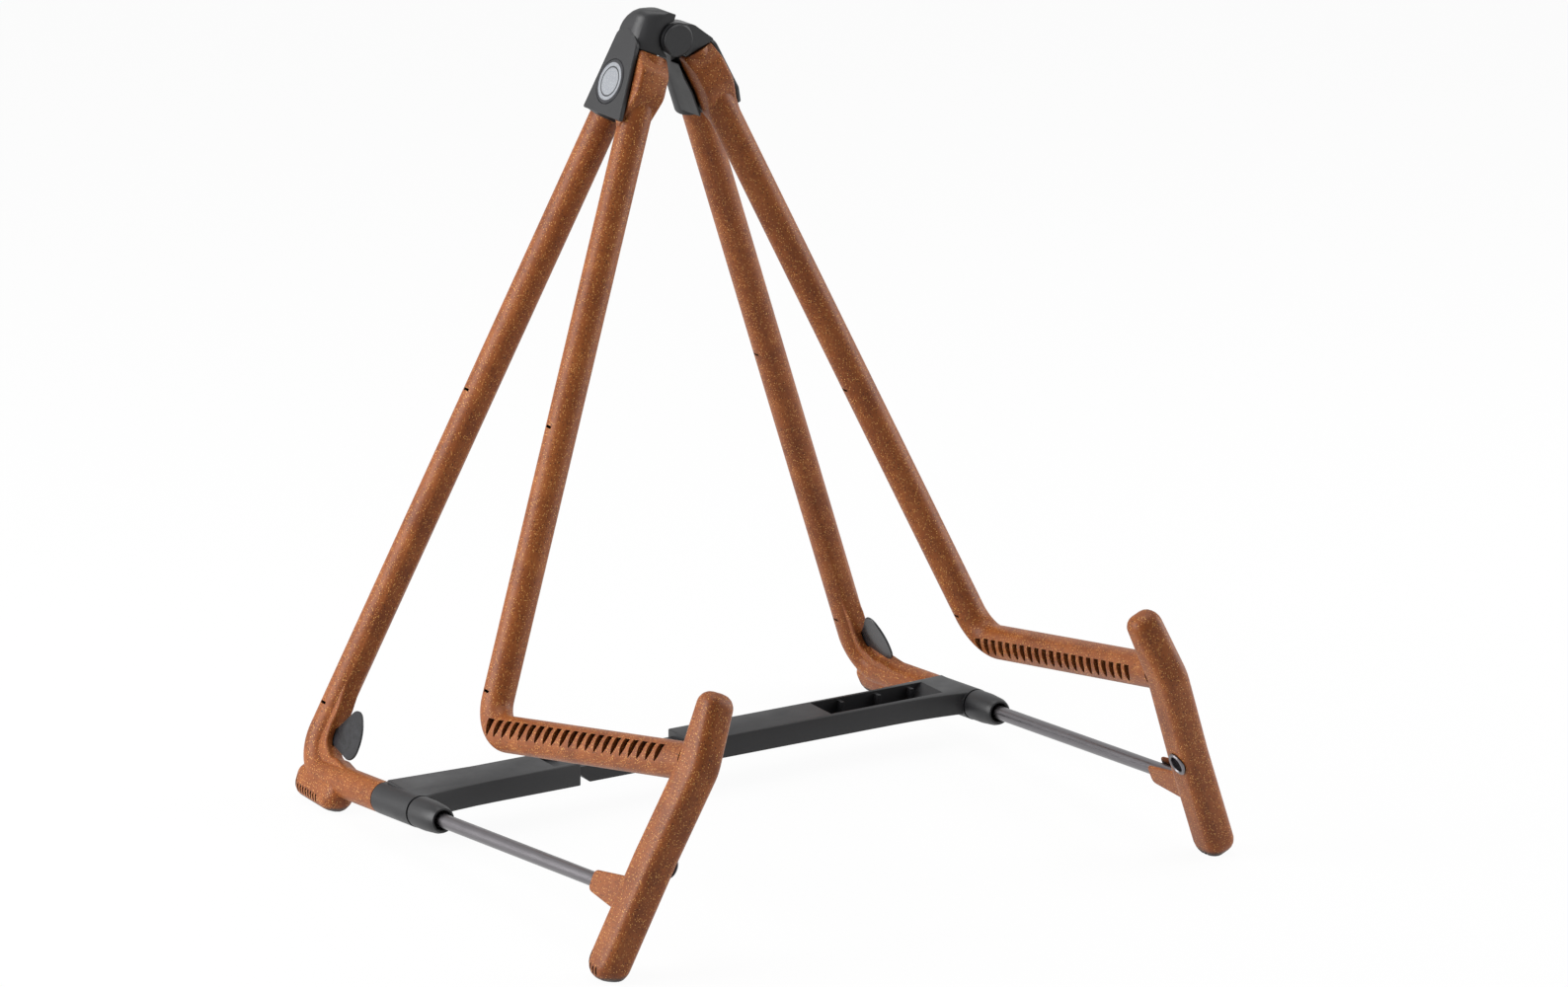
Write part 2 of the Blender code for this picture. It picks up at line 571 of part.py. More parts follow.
def front_arm(side, mat):
    frame = side_matrix(side)
    name = side_name(side)
    down = -math.pi / 2 - math.atan(FRONT_SLOPE)
    within = ARM_HEIGHT / 2
    end = -BAR_FORWARD + 2 * MM
    start = ARM_TOP - TUBE_R * FRONT_SLOPE
    stations = [(front_axis(start), start, down, TUBE_R, TUBE_R)]
    stations += bend_stations((-FRONT_BEND_FORWARD, FRONT_BEND_HEIGHT), down, FORWARD_ARM,
                              TUBE_R, within)
    stations.append((end, arm_axis(end), FORWARD_ARM, TUBE_R, within))
    bm = bmesh.new()
    add_sweep(bm, stations)
    arm = finish(f"front_arm_{name}", bm, mat, frame, side)

    bulb = bmesh.new()
    rear_top = rear_axis(ARM_TOP) - SLEEVE_R * 1.02 - 2 * FIT
    rear_middle = rear_axis(PIVOT_S) - SLEEVE_R * 1.02 - 2 * FIT
    middle = front_axis(PIVOT_S) - BULB_FORWARD
    outline = [(rear_top, ARM_TOP, 2.6 * MM), (middle + 9 * MM, ARM_TOP, 3 * MM),
               (middle + 2.5 * MM, PIVOT_S + 11 * MM, 6 * MM), (middle, PIVOT_S, 8 * MM),
               (middle + 4.6 * MM, PIVOT_S - 11.5 * MM, 7 * MM),
               (front_axis(PIVOT_S - 21 * MM), PIVOT_S - 21 * MM, 3 * MM),
               (rear_middle, PIVOT_S - 8 * MM, 5 * MM)]
    add_slab(bulb, rounded_outline(outline), -TUBE_R, BULB_OUTSIDE, BULB_EDGE)
    combine(arm, bulb, f"bulb_{name}", "UNION", frame, side)

    saddle = bmesh.new()
    radius = SLEEVE_R + 2 * FIT
    ends = (HINGE_S, HINGE_S - HEAD_DROP - 2 * SLEEVE_R)
    add_sweep(saddle, [(rear_axis(s), s, DOWN_REAR, radius, radius) for s in ends])
    combine(arm, saddle, f"sleeve_saddle_{name}", "DIFFERENCE", frame, side)

    eye = bmesh.new()
    radius = EYE_DIAMETER / 2
    add_turned(eye, [(radius, -TUBE_R), (radius, BULB_OUTSIDE)], DISC_SIDES)
    pivot = out_of_side(side, PIVOT_Y, PIVOT_S)
    combine(arm, eye, f"eye_{name}", "UNION", pivot)
    hole = bmesh.new()
    radius = PIVOT_PIN_DIAMETER / 2 + FIT
    add_turned(hole, [(radius, -2 * TUBE_R), (radius, 2 * TUBE_R)])
    combine(arm, hole, f"eye_hole_{name}", "DIFFERENCE", pivot)

    bar = bmesh.new()
    add_slab(bar, bar_outline(), -BAR_WIDTH / 2, BAR_WIDTH / 2, BAR_EDGE)
    combine(arm, bar, f"bar_{name}", "UNION", frame, side)

    lobe = bmesh.new()
    tip = -BAR_FORWARD + LOBE_FROM_BAR
    root = -BAR_FORWARD + 3 * MM
    line = foot_axis(tip)
    half = LOBE_WIDTH / 2
    shoulder = tip - LOBE_ROOT
    outline = rounded_outline([(tip, line + half, 3 * MM), (shoulder, line + 2 * half, 3 * MM),
                               (root, line + 2 * half, 0), (root, line - 2.2 * half, 0),
                               (shoulder + 2 * MM, line - 1.4 * half, 5 * MM),
                               (tip, line - half, 3 * MM)])
    add_slab(lobe, outline, -half, half, 1 * MM)
    combine(arm, lobe, f"lobe_{name}", "UNION", frame, side)

    way = bmesh.new()
    add_slab(way, rod_way_outline(), -ROD_R - FIT, ROD_R + FIT)
    combine(arm, way, f"rod_way_{name}", "DIFFERENCE", frame, side)

    slots = bmesh.new()
    for i in range(LAMELLA_COUNT):
        add_lamella_slot(slots, LAMELLA_START + i * LAMELLA_PITCH)
    add_gauge_slots(slots, front_axis, [FRONT_BEND_HEIGHT + up for up in FRONT_SLOTS_UP])
    heel = -BAR_FORWARD + BAR_REAR_EDGE[0][0] - 2.5 * MM
    add_rib_grooves(slots, heel, 4, -7 * MM, 8 * MM, BAR_WIDTH)
    combine(arm, slots, f"lamella_slots_{name}", "DIFFERENCE", frame, side)

    pocket = bmesh.new()
    radius = BUSH_BODY_DIAMETER / 2 + FIT
    add_turned(pocket, [(radius, BAR_WIDTH / 2 - BUSH_LENGTH - FIT), (radius, BAR_WIDTH)], DISC_SIDES)
    place = into_side(side, -BAR_FORWARD - BUSH_FORWARD, BUSH_UP)
    combine(arm, pocket, f"bush_pocket_{name}", "DIFFERENCE", place)
    cut_floor(arm)
    return arm


# Head shells

def plate_outline(low, high, peak):
    """Cheek plate of a head, arched to a peak above its upper corners."""
    corners = [(rear_axis(low) + PLATE_MARGIN, low, 0.6 * MM),
               (front_axis(low) - PLATE_MARGIN, low, 0.6 * MM),
               (front_axis(high) - PLATE_MARGIN, high - 3 * MM, 4 * MM)]
    if peak > 0:
        corners.append((rear_axis(high) - PLATE_MARGIN, high + peak, 6 * MM))
    corners.append((rear_axis(high) + PLATE_MARGIN, high, 4 * MM))
    return rounded_outline(corners)


def roof_profile(side):
    """Section of a head above its front arm, in (x, s), for the right-hand frame."""
    near = -HINGE_INSET
    outside = HEAD_FACE - 1.5 * MM
    ceiling = ARM_TOP + FIT
    if side < 0:
        corners = [(outside, ceiling, 0), (outside, HINGE_S + 7 * MM, 2 * MM),
                   (near + 11.6 * MM, HINGE_S + 9.4 * MM, 6 * MM),
                   (near + 6.4 * MM, HINGE_S + 10.8 * MM, 0.8 * MM),
                   (near + 4.8 * MM, ceiling + 3 * MM, 0), (near, ceiling, 0)]
    else:
        corners = [(outside, ceiling, 0), (outside, HINGE_S - 7 * MM, 5 * MM),
                   (near + 11 * MM, HINGE_S + 1.6 * MM, 9 * MM),
                   (near + 3 * MM, HINGE_S + 0.9 * BARREL_R, 0), (near, ceiling, 0)]
    return rounded_outline(corners)


def head_shell(side, mat):
    frame = side_matrix(side)
    name = side_name(side)
    bottom = HINGE_S - HEAD_DROP
    top = HINGE_S - BARREL_R
    stations = []
    for s in (top, bottom):
        stations.append((rear_axis(s), s, DOWN_REAR, SLEEVE_R, SLEEVE_R))
    bm = bmesh.new()
    add_sweep(bm, stations)
    head = finish(f"head_shell_{name}", bm, mat, frame, side)

    plate = bmesh.new()
    high, peak = (HINGE_S - 2 * MM, 9 * MM) if side < 0 else (HINGE_S - 7 * MM, 2 * MM)
    add_slab(plate, plate_outline(bottom, high, peak), PLATE_GAP, HEAD_FACE, 0.5 * MM, 1)
    combine(head, plate, f"outer_plate_{name}", "UNION", frame, side)
    inner = bmesh.new()
    outline = plate_outline(bottom + 0.2 * MM, ARM_TOP + 2 * MM, 0)
    add_slab(inner, outline, -PLATE_GAP - INNER_PLATE, -PLATE_GAP, 0.4 * MM, 1)
    combine(head, inner, f"inner_plate_{name}", "UNION", frame, side)

    roof = bmesh.new()
    front = -HINGE_FRONT + HEAD_SHIFT + (2 * MM if side < 0 else 0.2 * MM)
    add_prism(roof, roof_profile(side), rear_axis(HINGE_S) + PLATE_MARGIN - 0.3 * MM, front, "Y")
    combine(head, roof, f"roof_{name}", "UNION", frame, side)

    # Nothing under the hinge crosses the middle plane of the closed stand
    room = bmesh.new()
    slope = math.tan(LEAN - CLOSING_ROOM / 2)
    near = -HINGE_INSET + FIT
    far = near - 2 * SLEEVE_R
    start = BARREL_R - 0.6 * MM
    reach = HEAD_DROP + 2 * SLEEVE_R
    outline = [(near - start * slope, HINGE_S - start), (near - reach * slope, HINGE_S - reach),
               (far, HINGE_S - reach), (far, HINGE_S - start)]
    add_prism(room, outline, 0, -2 * HINGE_FRONT, "Y")
    combine(head, room, f"closing_room_{name}", "DIFFERENCE", frame, side)

    spans = {-1: (-HINGE_SPLIT + FIT, -HINGE_REAR), 1: (-HINGE_FRONT, -HINGE_SPLIT)}
    rooms = {-1: (-HINGE_FRONT - 6 * MM, -HINGE_SPLIT + FIT), 1: (-HINGE_SPLIT, 0)}
    start, stop = rooms[side]
    other = bmesh.new()
    radius = BARREL_R + FIT
    add_turned(other, [(radius, 0), (radius, stop - start)], DISC_SIDES)
    combine(head, other, f"barrel_room_{name}", "DIFFERENCE", along_y(start, 0, HINGE_HEIGHT))
    start, stop = spans[side]
    barrel = bmesh.new()
    add_turned(barrel, [(BARREL_R, 0), (BARREL_R, stop - start)], DISC_SIDES)
    combine(head, barrel, f"barrel_{name}", "UNION", along_y(start, 0, HINGE_HEIGHT))

    socket = bmesh.new()
    stations = []
    for s in (LEG_TOP + FIT, bottom - SLEEVE_R):
        stations.append((rear_axis(s), s, DOWN_REAR, TUBE_R + FIT, TUBE_R + FIT))
    add_sweep(socket, stations)
    combine(head, socket, f"leg_socket_{name}", "DIFFERENCE", frame, side)
    cut_eye_room(head, side)

    bores = bmesh.new()
    radius = HINGE_PIN_DIAMETER / 2 + FIT
    add_turned(bores, [(radius, 0), (radius, HINGE_FRONT)], 16)
    place = along_y(-HINGE_FRONT - 10 * MM, 0, HINGE_HEIGHT)
    combine(head, bores, f"hinge_bore_{name}", "DIFFERENCE", place)

    pivot = out_of_side(side, PIVOT_Y, PIVOT_S)
    seat = bmesh.new()
    radius = BADGE_DIAMETER / 2 + FIT
    add_turned(seat, [(radius, HEAD_FACE - BADGE_SEAT), (radius, 2 * HEAD_FACE)], DISC_SIDES)
    combine(head, seat, f"badge_seat_{name}", "DIFFERENCE", pivot)
    way = bmesh.new()
    radius = PIVOT_PIN_DIAMETER / 2 + FIT
    add_turned(way, [(radius, -2 * HEAD_FACE), (radius, HEAD_FACE)])
    combine(head, way, f"pivot_way_{name}", "DIFFERENCE", pivot)
    return head


def head_fittings(side, badge_mat, steel, washer_mat):
    name = side_name(side)
    pivot = out_of_side(side, PIVOT_Y, PIVOT_S)
    radius = BADGE_DIAMETER / 2
    base = HEAD_FACE - BADGE_SEAT + FIT
    bm = bmesh.new()
    add_turned(bm, [(radius, base), (radius, HEAD_FACE), (radius - 0.5 * MM, HEAD_FACE + 0.4 * MM),
                    (radius - 1.3 * MM, HEAD_FACE + 0.4 * MM),
                    (radius - 1.6 * MM, HEAD_FACE + 0.15 * MM)], DISC_SIDES)
    badge = finish(f"head_badge_{name}", bm, badge_mat, pivot)

    radius = PIVOT_PIN_DIAMETER / 2
    low = -PLATE_GAP - INNER_PLATE + 0.2 * MM
    high = HEAD_FACE - BADGE_SEAT - FIT
    bm = bmesh.new()
    add_turned(bm, [(radius - 0.4 * MM, low), (radius, low + 0.4 * MM), (radius, high)])
    pin = finish(f"arm_pivot_pin_{name}", bm, steel, pivot)

    outer = WASHER_DIAMETER / 2
    inner = radius + FIT
    bm = bmesh.new()
    add_turned_ring(bm, [(inner, -PLATE_GAP + FIT), (outer, -PLATE_GAP + FIT),
                         (outer, -TUBE_R - FIT), (inner, -TUBE_R - FIT)], DISC_SIDES)
    washer = finish(f"friction_washer_{name}", bm, washer_mat, pivot)
    return badge, pin, washer


def hinge_parts(steel, plastic):
    radius = HINGE_PIN_DIAMETER / 2
    length = HINGE_FRONT - HINGE_REAR - 2 * FIT
    bm = bmesh.new()
    add_turned(bm, [(radius - 0.4 * MM, 0), (radius, 0.4 * MM), (radius, length - 0.4 * MM),
                    (radius - 0.4 * MM, length)], 16)
    pin = finish("hinge_pin", bm, steel, along_y(-HINGE_FRONT + FIT, 0, HINGE_HEIGHT))
    caps = []
    face = BARREL_R - 0.4 * MM
    for name, y, turn in (("front", -HINGE_FRONT - FIT, 0), ("rear", -HINGE_REAR + FIT, math.pi)):
        bm = bmesh.new()
        add_turned(bm, [(face - 0.6 * MM, -1.2 * MM), (face, -0.6 * MM), (face, 0)], DISC_SIDES)
        place = along_y(y, 0, HINGE_HEIGHT) @ Matrix.Rotation(turn, 4, "X")
        caps.append(finish(f"hinge_cap_{name}", bm, plastic, place))
    return pin, caps


# Rod, collar, bush and pick of a side frame

def rod(side, mat):
    length = foot_length(ROD_REAR, ROD_FRONT)
    edge = 0.5 * MM
    bm = bmesh.new()
    add_turned(bm, [(ROD_R - edge, 0), (ROD_R, edge), (ROD_R, length - edge),
                    (ROD_R - edge, length)])
    place = side_matrix(side) @ along_foot(-ROD_REAR)
    return finish(f"rod_{side_name(side)}", bm, mat, place)


def collar(side, mat):
    outer = TUBE_R - 0.1 * MM
    nose = COLLAR_FRONT_DIAMETER / 2
    inner = JOURNAL_DIAMETER / 2 + FIT
    length = COLLAR_LENGTH
    profile = [(inner, 0), (outer - 0.3 * MM, 0), (outer, 0.4 * MM), (outer, 0.45 * length),
               (nose + 0.5 * MM, 0.85 * length), (nose, 0.94 * length),
               (nose - 0.5 * MM, length), (inner, length)]
    bm = bmesh.new()
    add_turned_ring(bm, profile, DISC_SIDES)
    place = side_matrix(side) @ along_foot(-SLEEVE_REAR - SLEEVE_LENGTH - FIT)
    return finish(f"collar_{side_name(side)}", bm, mat, place)


def bush(side, mat):
    flange = BUSH_FLANGE_DIAMETER / 2
    body = BUSH_BODY_DIAMETER / 2
    bore = BUSH_BORE_DIAMETER / 2
    face = BAR_WIDTH / 2 + FIT
    base = face - BUSH_LENGTH
    profile = [(body, base), (body, face), (flange, face), (flange, face + 0.5 * BUSH_FLANGE),
               (flange - 0.5 * MM, face + BUSH_FLANGE), (bore + 0.4 * MM, face + BUSH_FLANGE),
               (bore, face + 0.5 * BUSH_FLANGE), (bore, base + 0.8 * MM)]
    bm = bmesh.new()
    add_turned(bm, profile, DISC_SIDES)
    place = into_side(side, -BAR_FORWARD - BUSH_FORWARD, BUSH_UP)
    return finish(f"bar_bush_{side_name(side)}", bm, mat, place)


def pick(side, mat):
    half = PICK_THICKNESS / 2
    bm = bmesh.new()
    add_slab(bm, pick_outline(), -half, half, 0.2 * MM, 1)
    return finish(f"pick_{side_name(side)}", bm, mat, side_matrix(side), side)


# Cross brace in two parts, with its latch

def brace_levels():
    """Distance of the foot axis from the middle under the brace, and the brace's top."""
    middle = -BRACE_REAR - BRACE_DEPTH / 2
    point = side_matrix(1) @ Vector((0, middle, foot_axis(middle)))
    return point.x, point.z + BRACE_ABOVE_AXIS


def brace_body(side, end_x, mat):
    """One part of the brace, from its sleeve to end_x, flaring at the sleeve."""
    frame = side_matrix(side)
    name = side_name(side)
    axis_x, top = brace_levels()
    rear = -BRACE_REAR
    front = rear - BRACE_DEPTH
    knee = axis_x - BRACE_FLARE_LENGTH
    outline = [(axis_x, rear + BRACE_FLARE * 0.6), (knee, rear), (end_x, rear), (end_x, front)]
    for t in (0, 0.25, 0.5, 0.75, 1):
        outline.append((knee + BRACE_FLARE_LENGTH * t, front - BRACE_FLARE * t * t))
    bm = bmesh.new()
    add_prism(bm, outline, top - BRACE_HEIGHT, top, "Z")
    body = finish(f"brace_{name}", bm, mat, Matrix.Identity(4), side)
    bevel = body.modifiers.new("edges", "BEVEL")
    bevel.width = 0.7 * MM
    bevel.segments = 2
    bevel.limit_method = "ANGLE"
    bevel.angle_limit = math.radians(40)

    start = -SLEEVE_REAR - FIT
    length = foot_length(0, SLEEVE_LENGTH - 2 * FIT)
    outer = TUBE_R + 0.1 * MM
    sleeve = bmesh.new()
    add_turned(sleeve, [(outer - 0.3 * MM, 0), (outer, 0.3 * MM), (outer, length)], DISC_SIDES)
    place = frame @ along_foot(start)
    combine(body, sleeve, f"brace_sleeve_{name}", "UNION", place)
    bore = bmesh.new()
    radius = JOURNAL_DIAMETER / 2 + FIT
    add_turned(bore, [(radius, -length), (radius, 2 * length)], DISC_SIDES)
    combine(body, bore, f"brace_bore_{name}", "DIFFERENCE", place)
    ends = bmesh.new()
    width = 3 * TUBE_R
    for low, high in ((-length, 0), (length, 2 * length)):
        add_box(ends, (-TUBE_R - 2 * MM, -width, low), (width, width, high))
    combine(body, ends, f"brace_ends_{name}", "DIFFERENCE", place, side)
    return body


def brace_left(mat, steel):
    body = brace_body(-1, BLOCK_END, mat)
    top = brace_levels()[1]
    bottom = top - BRACE_HEIGHT
    world = Matrix.Identity(4)
    front = -BRACE_REAR - BRACE_DEPTH
    slope = math.tan(LATCH_ANGLE)
    spare = 5 * MM
    seat = -BLOCK_END - TONGUE_TIP - 1.5 * FIT - TONGUE_LOWER / slope
    fork = bmesh.new()
    outline = [(seat - spare / slope, top + spare),
               (seat + (BRACE_HEIGHT + spare) / slope, bottom - spare),
               (-BLOCK_END + 3 * spare, bottom - spare), (-BLOCK_END + 3 * spare, top + spare)]
    add_prism(fork, outline, -BRACE_REAR - CHEEK, front + CHEEK, "Y")
    combine(body, fork, "fork_gap", "DIFFERENCE", world)

    radius = LATCH_PIN_DIAMETER / 2
    inset = 1.0 * MM
    length = BRACE_DEPTH - 2 * inset
    place = along_y(front + inset, -BLOCK_END - LATCH_PIN_INSET, bottom + LATCH_PIN_HEIGHT)
    hole = bmesh.new()
    add_turned(hole, [(radius + FIT, 0), (radius + FIT, length)], 16)
    combine(body, hole, "latch_hole", "DIFFERENCE", place)
    bm = bmesh.new()
    add_turned(bm, [(radius, FIT), (radius, length - FIT)], 16)
    return body, finish("brace_latch_pin", bm, steel, place)


def brace_right(mat):
    body = brace_body(1, -SHOULDER, mat)
    top = brace_levels()[1]
    bottom = top - BRACE_HEIGHT
    world = Matrix.Identity(4)
    rear = -BRACE_REAR
    front = rear - BRACE_DEPTH
    inner_rear = rear - CHEEK - TONGUE_SWAY
    inner_front = front + CHEEK + 2 * FIT
    tip_x = -BLOCK_END - TONGUE_TIP
    height = BRACE_HEIGHT - TONGUE_LOWER
    root_x = -SHOULDER + 4 * MM
    tongue = bmesh.new()
    outline = [(root_x, bottom + height), (tip_x, bottom + height),
               (tip_x + height / math.tan(LATCH_ANGLE), bottom), (root_x, bottom)]
    add_prism(tongue, outline, inner_rear, inner_front, "Y")
    combine(body, tongue, "tongue", "UNION", world)

    # The hook drops over the latch pin and slides off it down the same slope
    pin = Vector((-BLOCK_END - LATCH_PIN_INSET, bottom + LATCH_PIN_HEIGHT))
    radius = LATCH_PIN_DIAMETER / 2 + FIT
    along = Vector((math.cos(LATCH_ANGLE), -math.sin(LATCH_ANGLE)))
    points = []
    steps = 8
    stop = math.pi / 2 - LATCH_ANGLE
    for k in range(steps + 1):
        angle = math.pi + (stop - math.pi) * k / steps
        points.append(pin + Vector((math.cos(angle), math.sin(angle))) * radius)
    points.append(points[-1] + along * 25 * MM)
    points.append(Vector((points[0].x, points[-1].y)))
    hook = bmesh.new()
    add_prism(hook, points, rear, front, "Y")
    combine(body, hook, "hook_slot", "DIFFERENCE", world)

    tray = bmesh.new()
    base = top - TRAY_DEPTH
    far = TRAY_START + TRAY_LENGTH
    outline = [(TRAY_START, base), (TRAY_START, top + 5 * MM), (far + 5 * MM, top + 5 * MM),
               (far, top), (far - TRAY_DEPTH, base)]
    add_prism(tray, outline, rear - TRAY_REAR_WALL, front + TRAY_FRONT_WALL, "Y")
    combine(body, tray, "tray", "DIFFERENCE", world)
    ribs = bmesh.new()
    for offset in TRAY_RIBS_AT:
        x = TRAY_START + offset
        wall = rear - TRAY_REAR_WALL
        add_box(ribs, (x, wall - 3.5 * MM, base - 1 * MM), (x + TRAY_RIB, wall + 0.8 * MM,
                                                           top - 1.2 * MM))
    combine(body, ribs, "tray_ribs", "UNION", world)
    return body


def centre_on_origin(root):
    """Move the stand in y so that its box is centred over the origin."""
    bpy.context.view_layer.update()
    graph = bpy.context.evaluated_depsgraph_get()
    low = math.inf
    high = -math.inf
    for obj in bpy.data.objects:
        if obj.type != "MESH" or obj.hide_render:
            continue
        shown = obj.evaluated_get(graph)
        mesh = shown.to_mesh()
        for vert in mesh.vertices:
            y = (obj.matrix_world @ vert.co).y
            low = min(low, y)
            high = max(high, y)
        shown.to_mesh_clear()
    root.location.y = -(low + high) / 2


def main():
    clear_scene()
    cork = material("cork_compound", (0.32, 0.10, 0.03), 0.6)
    black = material("black_plastic", (0.03, 0.03, 0.035), 0.5)
    steel = material("dark_steel", (0.08, 0.08, 0.09), 0.35, 0.8)
    pale = material("pale_badge", (0.75, 0.76, 0.78), 0.4)
    celluloid = material("pick_celluloid", (0.08, 0.08, 0.09), 0.3)
    nylon = material("washer_nylon", (0.6, 0.6, 0.58), 0.5)

    root = empty("stand_origin", Matrix.Identity(4))
    hinge = empty("hinge_axis", Matrix.Translation((0, -HINGE_FRONT, HINGE_HEIGHT)))
    carry(hinge, root)
    for side in (-1, 1):
        holder = root if side < 0 else hinge
        name = side_name(side)
        for piece in (rear_leg(side, cork), head_shell(side, black), rod(side, steel),
                      collar(side, black), *head_fittings(side, pale, steel, nylon)):
            carry(piece, holder)
        swing = empty(f"arm_swing_{name}", out_of_side(side, PIVOT_Y, PIVOT_S))
        carry(swing, holder)
        carry(front_arm(side, cork), swing)
        carry(bush(side, steel), swing)
        slide = empty(f"pick_slide_{name}", side_matrix(side))
        carry(slide, holder)
        carry(pick(side, celluloid), slide)
        turn = empty(f"brace_turn_{name}", side_matrix(side) @ along_foot(-SLEEVE_REAR))
        carry(turn, holder)
        if side < 0:
            body, latch = brace_left(black, steel)
            carry(latch, turn)
        else:
            body = brace_right(black)
        carry(body, turn)
    pin, caps = hinge_parts(steel, black)
    carry(pin, root)
    carry(caps[0], hinge)
    carry(caps[1], root)
    centre_on_origin(root)


main()
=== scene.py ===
# Looks of the folding guitar stand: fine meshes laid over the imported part, their materials,
# soft studio light and the camera. Metres, +Z up, the player's side faces -Y.
import json
import math

import bmesh
import bpy
from mathutils import Matrix, Vector


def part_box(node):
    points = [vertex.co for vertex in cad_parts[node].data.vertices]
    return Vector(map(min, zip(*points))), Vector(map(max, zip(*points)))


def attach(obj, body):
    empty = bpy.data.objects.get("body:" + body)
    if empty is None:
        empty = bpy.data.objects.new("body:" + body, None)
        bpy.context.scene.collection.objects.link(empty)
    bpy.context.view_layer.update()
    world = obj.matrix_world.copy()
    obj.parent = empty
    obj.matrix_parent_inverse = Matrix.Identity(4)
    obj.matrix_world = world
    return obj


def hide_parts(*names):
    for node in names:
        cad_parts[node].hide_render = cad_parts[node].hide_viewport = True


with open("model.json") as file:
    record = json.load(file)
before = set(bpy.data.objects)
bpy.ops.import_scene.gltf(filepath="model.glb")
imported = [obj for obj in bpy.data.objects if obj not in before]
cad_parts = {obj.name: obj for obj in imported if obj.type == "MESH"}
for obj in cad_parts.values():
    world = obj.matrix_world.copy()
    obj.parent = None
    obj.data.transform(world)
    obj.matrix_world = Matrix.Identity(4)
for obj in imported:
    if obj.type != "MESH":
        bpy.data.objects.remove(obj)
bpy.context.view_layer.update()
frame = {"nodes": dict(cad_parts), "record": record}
mm = 0.001
fit = 0.3 * mm   # clearance between pieces that touch
print("frame loaded:", len(frame["nodes"]), "nodes")

# What the record says of each node: its body and its material slot
bodyOfNode = {}
for bodyName, members in frame["record"]["behaviour"]["bodies"].items():
    for member in members:
        bodyOfNode[member] = bodyName
slotOfNode = {part["node"]: part["material_slot"] for part in frame["record"]["subparts"]}

# How finely the round things are drawn
fineness = {
    "tubeSides": 48,
    "discSides": 64,
    "pinSides": 16,
    "bendSteps": 20,
    "cornerStep": math.radians(9),
    "edgeSteps": 5,
    "hookSteps": 8,
    "slotSteps": 4,
    "crease": math.radians(32),   # edges sharper than this stay sharp
}


# Sizes that several pieces share. In a side plane, y runs to the rear and s runs up along
# the leaning plane

stance = {
    "footSpread": 307.6 * mm,   # between the planes of the two side frames, at the floor
    "lean": math.radians(22.8),   # each side plane leans in from the vertical
    "toeOut": math.radians(0.79),   # each side plane turns out towards the front
}

frameTube = {
    "diameter": 14.4 * mm,
    "rearBendHeight": 11.9 * mm,
    "rearTilt": math.radians(9.76),
    "bendRadius": 15 * mm,
    "footRise": math.radians(5.28),
    "frontBendForward": 135.9 * mm,
    "frontBendHeight": 68.7 * mm,
    "gapAtHead": 19.0 * mm,   # between the axes of the rear and the front tube
    "gaugeSlotWidth": 4.0 * mm,
    "gaugeSlotHeight": 1.2 * mm,
    "rearSlotsUp": (31.9 * mm, 189.7 * mm),
    "frontSlotsUp": (16.5 * mm, 133.9 * mm),
}

slideRod = {
    "diameter": 6.5 * mm,
    "edge": 0.5 * mm,
    "travel": 100 * mm,   # the rod slides back this far as the front arm folds
    "rear": 108 * mm,
    "front": 287 * mm,
    "spare": 3 * mm,   # room behind the rod when it is right back
}

footJournal = {
    "diameter": 10.4 * mm,
    "sleeveRear": 71 * mm,
    "sleeveLength": 32.5 * mm,
    "collarLength": 20.2 * mm,
    "collarFrontDiameter": 12.0 * mm,
    "collarLip": 1.1 * mm,   # gap round the rod in the collar's mouth
    "mouthDepth": 5 * mm,
}

headUnit = {
    "hingeInset": 6.6 * mm,   # hinge axis from each side plane, towards the middle
    "hingeFront": 82 * mm,
    "hingeRear": 54 * mm,
    "hingeSplit": 64.5 * mm,   # where the left barrel meets the right one
    "barrelDiameter": 15.4 * mm,
    "hingePinDiameter": 5 * mm,
    "headDrop": 41.8 * mm,   # cheeks' lower edge under the hinge axis
    "armTopDrop": 9.2 * mm,   # front arm's top under the hinge axis
    "legTopDrop": 3 * mm,   # rear leg's top under the front arm's
    "pivotDrop": 26.9 * mm,   # front arm's pivot under the hinge axis
    "pivotShare": 0.43,   # pivot's place between the front and the rear tube
    "pivotPinDiameter": 6 * mm,
    "eyeDiameter": 16 * mm,
    "eyePlay": 0.6 * mm,
    "cheekMargin": 4.3 * mm,
    "cheekGap": 8.3 * mm,   # inner faces of the cheeks from the side plane
    "outerCheek": 2.2 * mm,
    "innerCheek": 1.0 * mm,
    "sleeveWall": 2.6 * mm,
    "badgeDiameter": 20.3 * mm,
    "badgeSeat": 0.8 * mm,
    "washerDiameter": 14 * mm,
    "pinEdge": 0.4 * mm,
}

supportArm = {
    "rise": math.radians(11.4),
    "height": 16.4 * mm,
    "count": 21,
    "pitch": 6.72 * mm,
    "slot": 3.9 * mm,
    "start": 9.0 * mm,   # first slot's centre in front of the bend
    "skin": 3.0 * mm,   # solid skin above the slots
    "mouth": 3.0 * mm,   # straight upper part of a slot
    "tail": 4.8 * mm,   # tapering lower part of a slot
    "taper": 1.7,   # how far the front edge of the tail curves back, in half widths
}

